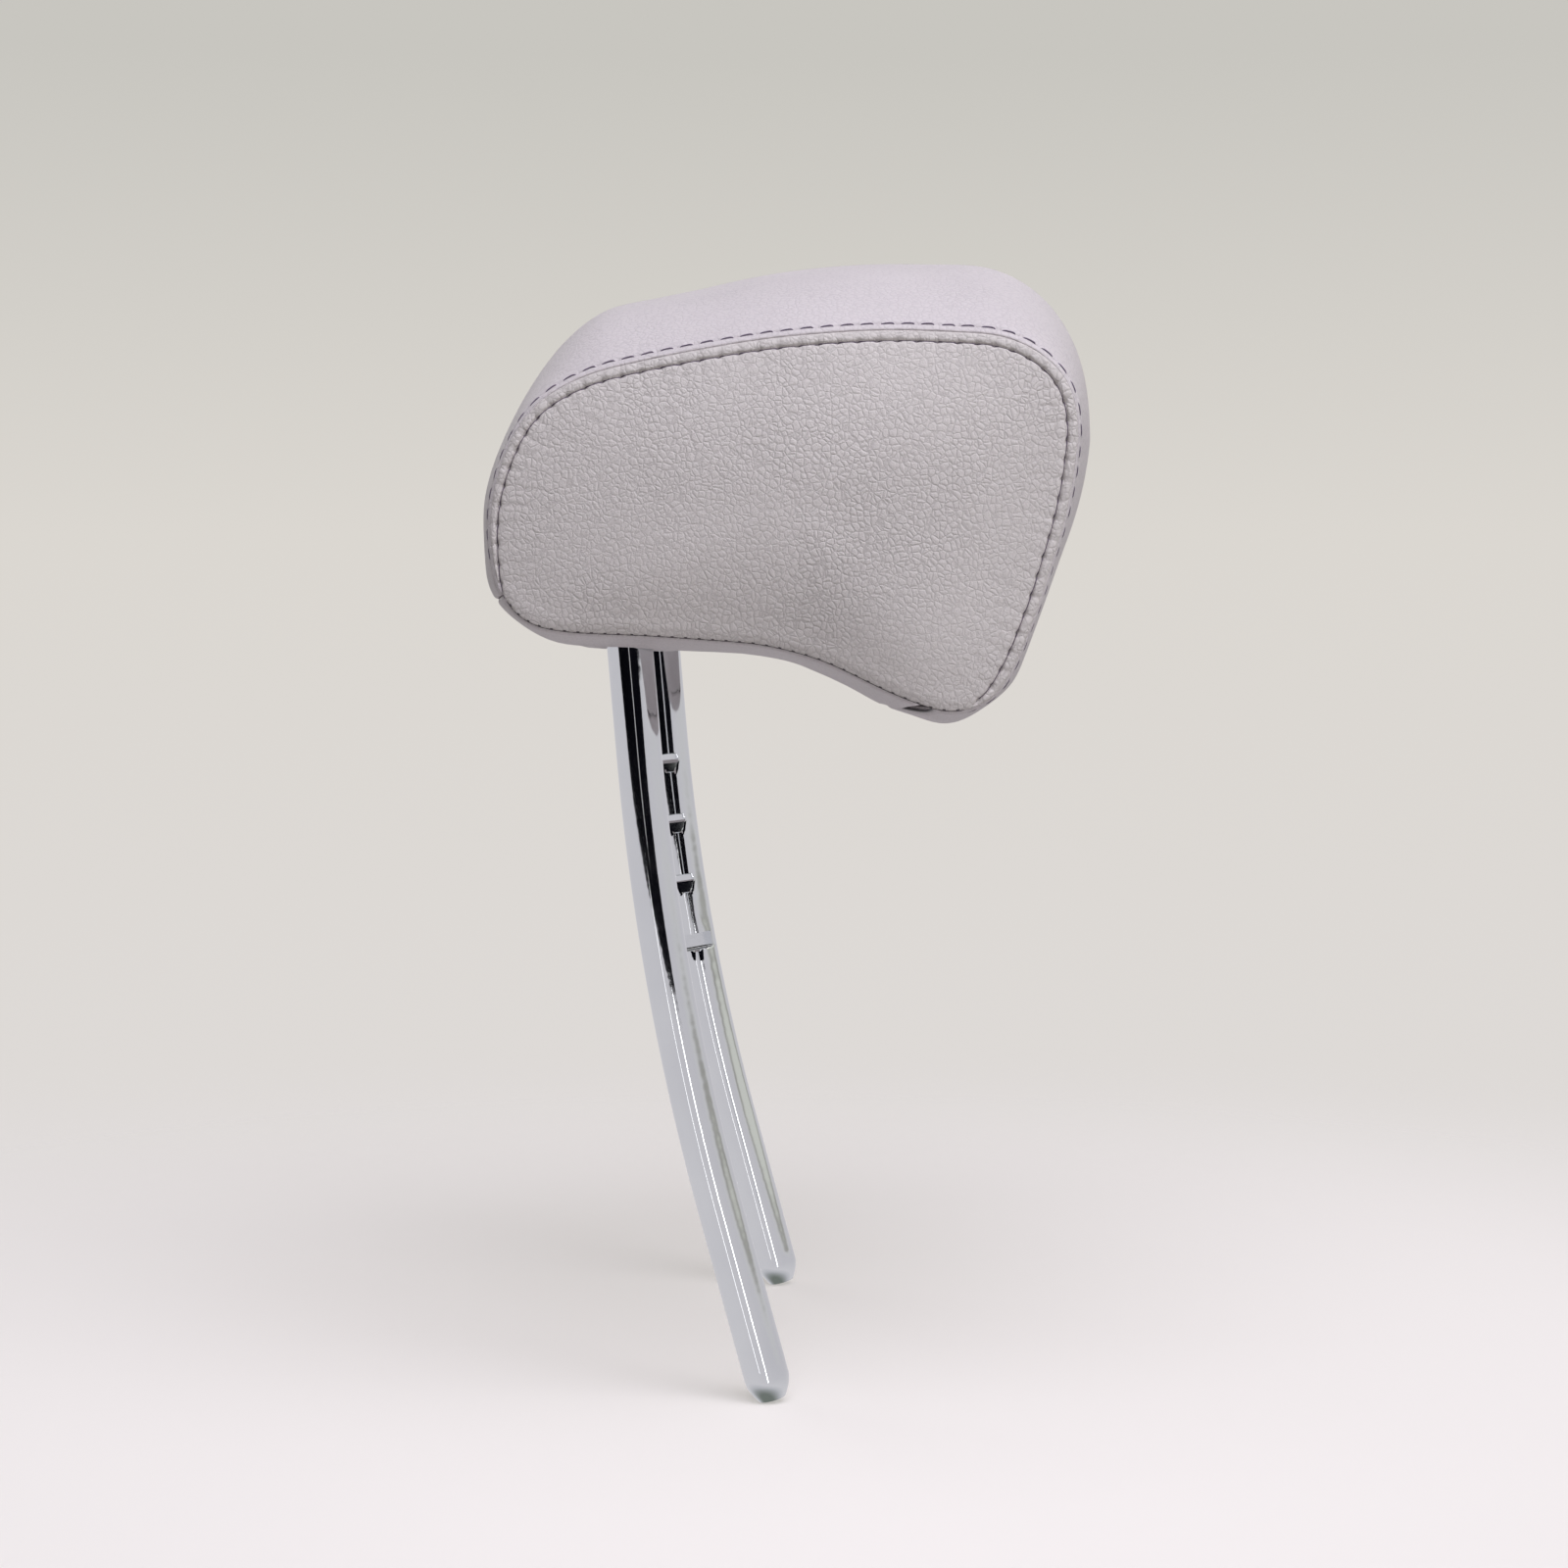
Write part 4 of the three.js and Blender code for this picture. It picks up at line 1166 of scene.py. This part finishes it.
class Nodes:
    """Short calls that add and join the nodes of one material."""

    def __init__(self, name):
        self.material = bpy.data.materials.new(name)
        self.material.use_nodes = True
        self.tree = self.material.node_tree
        self.shader = self.tree.nodes["Principled BSDF"]
        self.place = self.add("ShaderNodeTexCoord").outputs["Object"]

    def add(self, kind, **settings):
        node = self.tree.nodes.new(kind)
        for name, value in settings.items():
            setattr(node, name, value)
        return node

    def put(self, value, socket):
        """Join a node's output to a socket, or give the socket a constant."""
        if hasattr(value, "is_output"):
            self.tree.links.new(value, socket)
        else:
            socket.default_value = value

    def fill(self, node, **values):
        """Put values into the sockets with those names, where _ stands for a space."""
        for name, value in values.items():
            self.put(value, node.inputs[name.replace("_", " ")])
        return node

    def line_up(self, node, *values):
        """Put values into a node's first sockets, in order."""
        for socket, value in zip(node.inputs, values):
            self.put(value, socket)
        return node.outputs[0]

    def noise(self, scale, detail=2.0, roughness=0.5, vector=None):
        node = self.fill(self.add("ShaderNodeTexNoise"), Scale=scale, Detail=detail,
                         Roughness=roughness, Vector=vector or self.place)
        return node.outputs["Fac"]

    def cells(self, scale, vector):
        """Distance to the nearest edge of uneven cells."""
        node = self.add("ShaderNodeTexVoronoi", feature="DISTANCE_TO_EDGE")
        return self.fill(node, Scale=scale, Vector=vector).outputs["Distance"]

    def math(self, operation, *values):
        return self.line_up(self.add("ShaderNodeMath", operation=operation), *values)

    def spread(self, value, low, high, to_low=0.0, to_high=1.0, smooth=False):
        node = self.add("ShaderNodeMapRange",
                        interpolation_type="SMOOTHSTEP" if smooth else "LINEAR")
        self.fill(node, Value=value, From_Min=low, From_Max=high, To_Min=to_low, To_Max=to_high)
        return node.outputs["Result"]

    def mix(self, factor, first, second):
        node = self.add("ShaderNodeMix", data_type="RGBA")
        for place, value in ((0, factor), (6, first), (7, second)):
            self.put(value, node.inputs[place])
        return node.outputs[2]

    def warped(self, scale, amount):
        """The object's own place, pushed about by a coloured noise."""
        noise = self.fill(self.add("ShaderNodeTexNoise"), Scale=scale, Detail=1.0,
                          Vector=self.place)
        offset = self.add("ShaderNodeVectorMath", operation="MULTIPLY_ADD")
        return self.line_up(offset, noise.outputs["Color"], (amount, amount, amount), self.place)

    def bump(self, height, distance, strength=1.0):
        node = self.add("ShaderNodeBump")
        self.fill(node, Height=height, Distance=distance, Strength=strength)
        return node.outputs["Normal"]


def linear(red, green, blue):
    """A colour written as 0 to 255 values on screen."""
    def channel(value):
        value /= 255
        return value / 12.92 if value <= 0.04045 else ((value + 0.055) / 1.055) ** 2.4
    return (channel(red), channel(green), channel(blue), 1.0)


def leather(name, colour, crease_shade_and_scuff_colour, grain=1.0, spots=()):
    """Coated leather: flat-topped pebbles with thin creases coloured darker as painted shade,
    wrinkles and a low sheen.
    """
    n = Nodes(name)
    place = n.warped(300.0, 0.0016)
    edge = n.cells(560.0, place)
    pebble = n.spread(edge, 0.0, 0.2, 0.0, 1.0, smooth=True)
    dome = n.spread(edge, 0.1, 0.6, 0.0, 0.5, smooth=True)
    small = n.cells(1150.0, n.warped(800.0, 0.0006))
    small = n.spread(small, 0.0, 0.2, 0.0, 1.0, smooth=True)
    wrinkle = n.cells(170.0, n.warped(110.0, 0.007))
    wrinkle = n.spread(wrinkle, 0.0, 0.09, 0.0, 1.0, smooth=True)
    fine = n.noise(3200.0, 2.0, 0.6)
    strength = n.spread(n.noise(26.0, 2.0), 0.32, 0.66, 0.6, 1.0)
    height = n.math("MULTIPLY", n.math("ADD", pebble, dome), strength)
    height = n.math("MULTIPLY_ADD", small, 0.3, height)
    height = n.math("MULTIPLY_ADD", wrinkle, n.math("MULTIPLY", strength, 0.55), height)
    height = n.math("MULTIPLY_ADD", fine, 0.22, height)
    # Painted shade: the creases between pebbles are coloured darker, towards the crease colour,
    # which also darkens the scuff spots.
    crease = n.spread(edge, 0.0, 0.12, 0.4, 0.0)
    crease = n.math("MULTIPLY", crease, strength)
    mottle = n.spread(n.noise(22.0, 3.0), 0.3, 0.7, 0.96, 1.03)
    tone = n.add("ShaderNodeVectorMath", operation="SCALE")
    n.fill(tone, Vector=n.mix(crease, colour, crease_shade_and_scuff_colour), Scale=mottle)
    finish = tone.outputs[0]
    for spot, reach, depth in spots:
        away = n.add("ShaderNodeVectorMath", operation="DISTANCE")
        n.line_up(away, n.warped(260.0, 0.0016), Vector(spot) * MM)
        near = n.spread(away.outputs["Value"], reach * MM, 0.2 * reach * MM, 0.0, depth,
                        smooth=True)
        finish = n.mix(near, finish, crease_shade_and_scuff_colour)
    rough = n.spread(n.math("MULTIPLY_ADD", crease, 0.6, n.noise(90.0, 2.0)), 0.3, 1.0, 0.5, 0.62)
    n.fill(n.shader, Base_Color=finish, Roughness=rough, Specular_IOR_Level=0.34,
           Normal=n.bump(height, 0.000118 * grain))
    return n.material


def thread(name, colour):
    """Twisted sewing thread."""
    n = Nodes(name)
    twist = n.noise(2600.0, 2.0)
    dark = tuple(value * 0.6 for value in colour[:3]) + (1.0,)
    n.fill(n.shader, Base_Color=n.mix(n.spread(twist, 0.35, 0.65), dark, colour),
           Roughness=n.spread(twist, 0.3, 0.7, 0.5, 0.75), Normal=n.bump(twist, 0.00012))
    return n.material


def chrome(name):
    """Bright chrome plate, with a slight orange-peel and faint handling haze."""
    n = Nodes(name)
    haze = n.noise(60.0, 3.0)
    n.fill(n.shader, Base_Color=n.mix(haze, linear(222, 224, 228), linear(234, 236, 238)),
           Roughness=n.spread(haze, 0.35, 0.75, 0.035, 0.085), Metallic=1.0,
           Normal=n.bump(n.noise(240.0, 1.0), 0.000012))
    return n.material


def moulded(name, colour, roughness, metallic=0.0, texture=1500.0):
    """Moulded plastic, foam or plated steel, with its own fine texture."""
    n = Nodes(name)
    grain = n.noise(texture, 3.0, 0.6)
    dark = tuple(value * 0.78 for value in colour[:3]) + (1.0,)
    n.fill(n.shader, Base_Color=n.mix(grain, dark, colour), Metallic=metallic,
           Roughness=n.spread(grain, 0.3, 0.7, roughness - 0.06, roughness + 0.06),
           Normal=n.bump(grain, 0.00008))
    return n.material


# Camera, floor and lights

CAMERA_PLACE = Vector((-1.012, -0.0189, 0.2486))
CAMERA_TURN = math.radians(0.951)
CAMERA_PITCH = math.radians(4.34)
CAMERA_LENS = 75.9
LIGHT_AIM = 0.22
TOP_LIGHT_AIM = 0.2
FLOOR_HEIGHT = cad_box[0][2]
FLOOR_RADIUS = 1600.0
FLOOR_LIFT = 0.28
FLOOR_FADE = (0.16, 0.62)


def add_camera():
    """The photo's viewing angle."""
    data = bpy.data.cameras.new("camera")
    data.lens = CAMERA_LENS
    data.sensor_width = 36.0
    camera = bpy.data.objects.new("camera", data)
    forward = Vector((
        math.cos(CAMERA_PITCH) * math.cos(CAMERA_TURN),
        math.cos(CAMERA_PITCH) * math.sin(CAMERA_TURN),
        -math.sin(CAMERA_PITCH)))
    camera.location = CAMERA_PLACE
    camera.rotation_euler = forward.to_track_quat("-Z", "Y").to_euler()
    bpy.context.scene.collection.objects.link(camera)
    bpy.context.scene.camera = camera


def area_light(name, place, size, power, colour=(1, 1, 1), aim=LIGHT_AIM):
    """A square light aimed at a height above the origin, which the camera doesn't see."""
    data = bpy.data.lights.new(name, "AREA")
    data.shape = "SQUARE"
    data.size = size
    data.energy = power
    data.color = colour
    light = bpy.data.objects.new(name, data)
    light.location = place
    direction = Vector((0, 0, aim)) - Vector(place)
    light.rotation_euler = direction.to_track_quat("-Z", "Y").to_euler()
    light.visible_camera = False
    bpy.context.scene.collection.objects.link(light)


def join_ramp(tree, value, stops):
    """A colour ramp over a value: pairs of place and colour."""
    ramp = tree.nodes.new("ShaderNodeValToRGB")
    elements = ramp.color_ramp.elements
    for element, (place, colour) in zip(elements, (stops[0], stops[-1])):
        element.position, element.color = place, colour
    for place, colour in stops[1:-1]:
        elements.new(place).color = colour
    tree.links.new(value, ramp.inputs[0])
    return ramp.outputs[0]


def add_world():
    """Soft studio light, a pale wall for the camera painted darker towards the top as shade, and a
    room for the chrome to show.
    """
    world = bpy.data.worlds.new("studio")
    bpy.context.scene.world = world
    world.use_nodes = True
    tree = world.node_tree
    place = tree.nodes.new("ShaderNodeTexCoord").outputs["Generated"]
    split = tree.nodes.new("ShaderNodeSeparateXYZ")
    tree.links.new(place, split.inputs[0])
    rise = tree.nodes.new("ShaderNodeMapRange")
    rise.inputs["From Min"].default_value = -1.0
    tree.links.new(split.outputs["Z"], rise.inputs["Value"])
    height = rise.outputs["Result"]
    soft = tree.nodes["Background"]
    tree.links.new(join_ramp(tree, height, [
        (0.35, (1.0, 0.94, 0.85, 1.0)), (0.65, (1.0, 0.985, 1.03, 1.0))]), soft.inputs["Color"])
    soft.inputs["Strength"].default_value = 0.2
    # Painted shade: the wall's colour darkens from the horizon upwards.
    wall = tree.nodes.new("ShaderNodeBackground")
    tree.links.new(join_ramp(tree, height, [
        (0.38, linear(232, 228, 229)), (0.42, linear(222, 218, 215)),
        (0.5, linear(219, 215, 209)), (0.57, linear(200, 198, 192))]), wall.inputs["Color"])
    room = tree.nodes.new("ShaderNodeBackground")
    tree.links.new(join_ramp(tree, height, [
        (0.04, linear(120, 126, 120)), (0.16, linear(196, 196, 200)),
        (0.24, linear(217, 215, 218)), (0.505, linear(206, 204, 208)),
        (0.522, linear(210, 209, 209)), (0.53, linear(146, 144, 138)),
        (0.538, linear(212, 213, 205)), (0.7, linear(219, 218, 213))]), room.inputs["Color"])
    path = tree.nodes.new("ShaderNodeLightPath")
    for_gloss = tree.nodes.new("ShaderNodeMixShader")
    tree.links.new(path.outputs["Is Glossy Ray"], for_gloss.inputs[0])
    tree.links.new(soft.outputs[0], for_gloss.inputs[1])
    tree.links.new(room.outputs[0], for_gloss.inputs[2])
    for_camera = tree.nodes.new("ShaderNodeMixShader")
    tree.links.new(path.outputs["Is Camera Ray"], for_camera.inputs[0])
    tree.links.new(for_gloss.outputs[0], for_camera.inputs[1])
    tree.links.new(wall.outputs[0], for_camera.inputs[2])
    tree.links.new(for_camera.outputs[0], tree.nodes["World Output"].inputs["Surface"])


def disc(radius, height, sides=96):
    """Points and faces of a flat disc."""
    turns = np.arange(sides) * 2 * math.pi / sides
    rings = [np.stack([r * np.cos(turns), r * np.sin(turns), 0 * turns + height], axis=1)
             for r in (radius, radius * 0.5)]
    points = np.vstack([*rings, [[0, 0, height]]])
    faces = []
    for i in range(sides):
        j = (i + 1) % sides
        faces += [[i, j, sides + j, sides + i], [sides + i, sides + j, 2 * sides]]
    return points, faces


def add_floor():
    """Pale paper that takes the shadow, and fades into the wall away from the posts."""
    n = Nodes("floor_paper")
    seen = n.add("ShaderNodeLightPath").outputs["Is Camera Ray"]
    n.fill(n.shader, Base_Color=n.mix(n.noise(3.0), linear(219, 215, 213), linear(216, 212, 210)),
           Roughness=0.85, Emission_Color=(1.0, 0.965, 0.9, 1.0),
           Emission_Strength=n.spread(seen, 0.0, 1.0, 0.0, FLOOR_LIFT))
    away = n.fill(n.add("ShaderNodeVectorMath", operation="LENGTH"), Vector=n.place)
    fade = n.spread(away.outputs["Value"], *FLOOR_FADE, 0.0, 1.0, smooth=True)
    clear = n.add("ShaderNodeBsdfTransparent")
    blend = n.line_up(
        n.add("ShaderNodeMixShader"), fade, n.shader.outputs[0], clear.outputs[0])
    n.put(blend, n.tree.nodes["Material Output"].inputs["Surface"])
    points, faces = disc(FLOOR_RADIUS, FLOOR_HEIGHT / MM)
    floor = new_object("floor", points, faces, n.material, smooth=False)
    floor.visible_glossy = False


# Shapes that only the chrome shows, on an upright plane behind the camera: (y, z) in
# millimetres, and for a light strip how bright it is
REFLECTED_PLANE = -1500.0
DARK_ROOM = (
    (2250, -60), (1700, -160), (900, -130), (560, -90), (0, -50), (-700, 40), (-880, 140),
    (-1050, 230), (-2100, 330), (-2300, 900), (2400, 900))
CARD_GAP = 2.0
LIGHT_STRIPS = (
    ((75, 30), (150, 30), (150, 220), (75, 220), 0.22),
    ((505, -560), (545, -560), (535, -60), (505, -60), 2.2),
    ((-300, -560), (-235, -560), (-240, -20), (-285, -20), 6.0))


def reflected_card(name, corners, material, forward=0.0):
    """A flat shape that only mirror-like surfaces see."""
    points = [(REFLECTED_PLANE + forward, y, z) for y, z in corners]
    card = new_object(name, points, [list(range(len(points)))], material, smooth=False)
    card.visible_camera = False
    card.visible_diffuse = False
    card.visible_shadow = False


def add_reflected_room():
    """The unlit room, the grey patch in it and the two light strips that the posts mirror."""
    n = Nodes("dark_room")
    n.fill(n.shader, Base_Color=(0.006, 0.006, 0.01, 1.0), Roughness=1.0, Specular_IOR_Level=0.0)
    reflected_card("dark_room", DARK_ROOM, n.material)
    for i, (*corners, strength) in enumerate(LIGHT_STRIPS):
        n = Nodes(f"light_strip_{i + 1}")
        n.fill(n.shader, Base_Color=(0.9, 0.9, 0.9, 1.0), Emission_Color=(1.0, 1.0, 1.0, 1.0),
               Emission_Strength=strength)
        reflected_card(f"light_strip_{i + 1}", corners, n.material, CARD_GAP)


def add_lights():
    area_light("key_light", (-1.05, -0.4, 1.5), 1.9, 21.4, (1.0, 0.985, 1.09))
    area_light("top_light", (-0.42, -0.12, 1.5), 1.4, 4.2, (1.0, 0.95, 1.1), TOP_LIGHT_AIM)
    area_light("front_light", (-0.9, -1.3, 0.9), 1.2, 6.5, (1.0, 0.985, 0.97))
    area_light("rear_light", (0.9, 1.2, 1.1), 1.0, 3.0)


# The assembled scene

def add_headrest():
    """Every visible piece of the headrest, in its material."""
    side_look = leather("side_leather", linear(211, 206, 203), linear(164, 159, 157),
                        spots=[((-124.0, -62.0, 222.0), 2.4, 0.35),
                               ((-124.0, -60.5, 219.0), 1.8, 0.45)])
    band_look = leather("band_leather", linear(211, 205, 206), linear(176, 170, 174), grain=0.55)
    for side, slot_name in ((-1, "left"), (1, "right")):
        piece = side_panel(side, side_look)
        dress(piece, "side_leather", f"cover_side_{slot_name}")
    band = dress(cover_band(band_look), "band_leather", "cover_band")
    underside = dress(cover_underside(band_look), "band_leather", "cover_underside")
    thread_look = thread("seam_thread", linear(112, 100, 120))
    # The plain seam's thread colour also serves its dark line, which is painted shade in the seam.
    plain_thread_and_shade_look = thread("plain_thread_and_seam_shade", linear(88, 82, 84))
    for side, label in ((-1, "left"), (1, "right")):
        dress(side_topstitch(f"topstitch_side_{label}", side, thread_look), "side_leather")
        dress(band_topstitch(f"topstitch_band_{label}", side, thread_look), "band_leather")
        dress(plain_stitches_and_shade_line(f"plain_stitches_and_shade_line_{label}", side, plain_thread_and_shade_look), "side_leather")
    # The slit's tube is coloured dark as painted shade in the slit, over the edge of the strip.
    slit_shade_look = moulded("slit_plastic_and_shade", linear(62, 60, 60), 0.6)
    dress(closure_slit(slit_shade_look), "strip_plastic")
    dress(post_bar(chrome("post_chrome")), "post_chrome", "post_bar")


def dress_hidden_nodes():
    """Procedural finishes for the pieces that the cover hides."""
    looks = {
        "foam": moulded("pad_foam", linear(222, 214, 186), 0.9, texture=900.0),
        "core": moulded("core_plastic", linear(52, 54, 57), 0.5),
        "screw": moulded("screw_steel", linear(176, 178, 180), 0.32, metallic=1.0),
        "strip": moulded("strip_plastic", linear(150, 152, 154), 0.45),
    }
    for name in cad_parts:
        kind = next((key for key in ("foam", "screw", "strip", "core") if key in name), None)
        if kind:
            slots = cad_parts[name].data.materials
            slots.clear()
            slots.append(looks[kind])


bpy.context.scene.view_settings.view_transform = "Standard"
add_camera()
add_world()
add_floor()
add_reflected_room()
add_lights()
add_headrest()
dress_hidden_nodes()
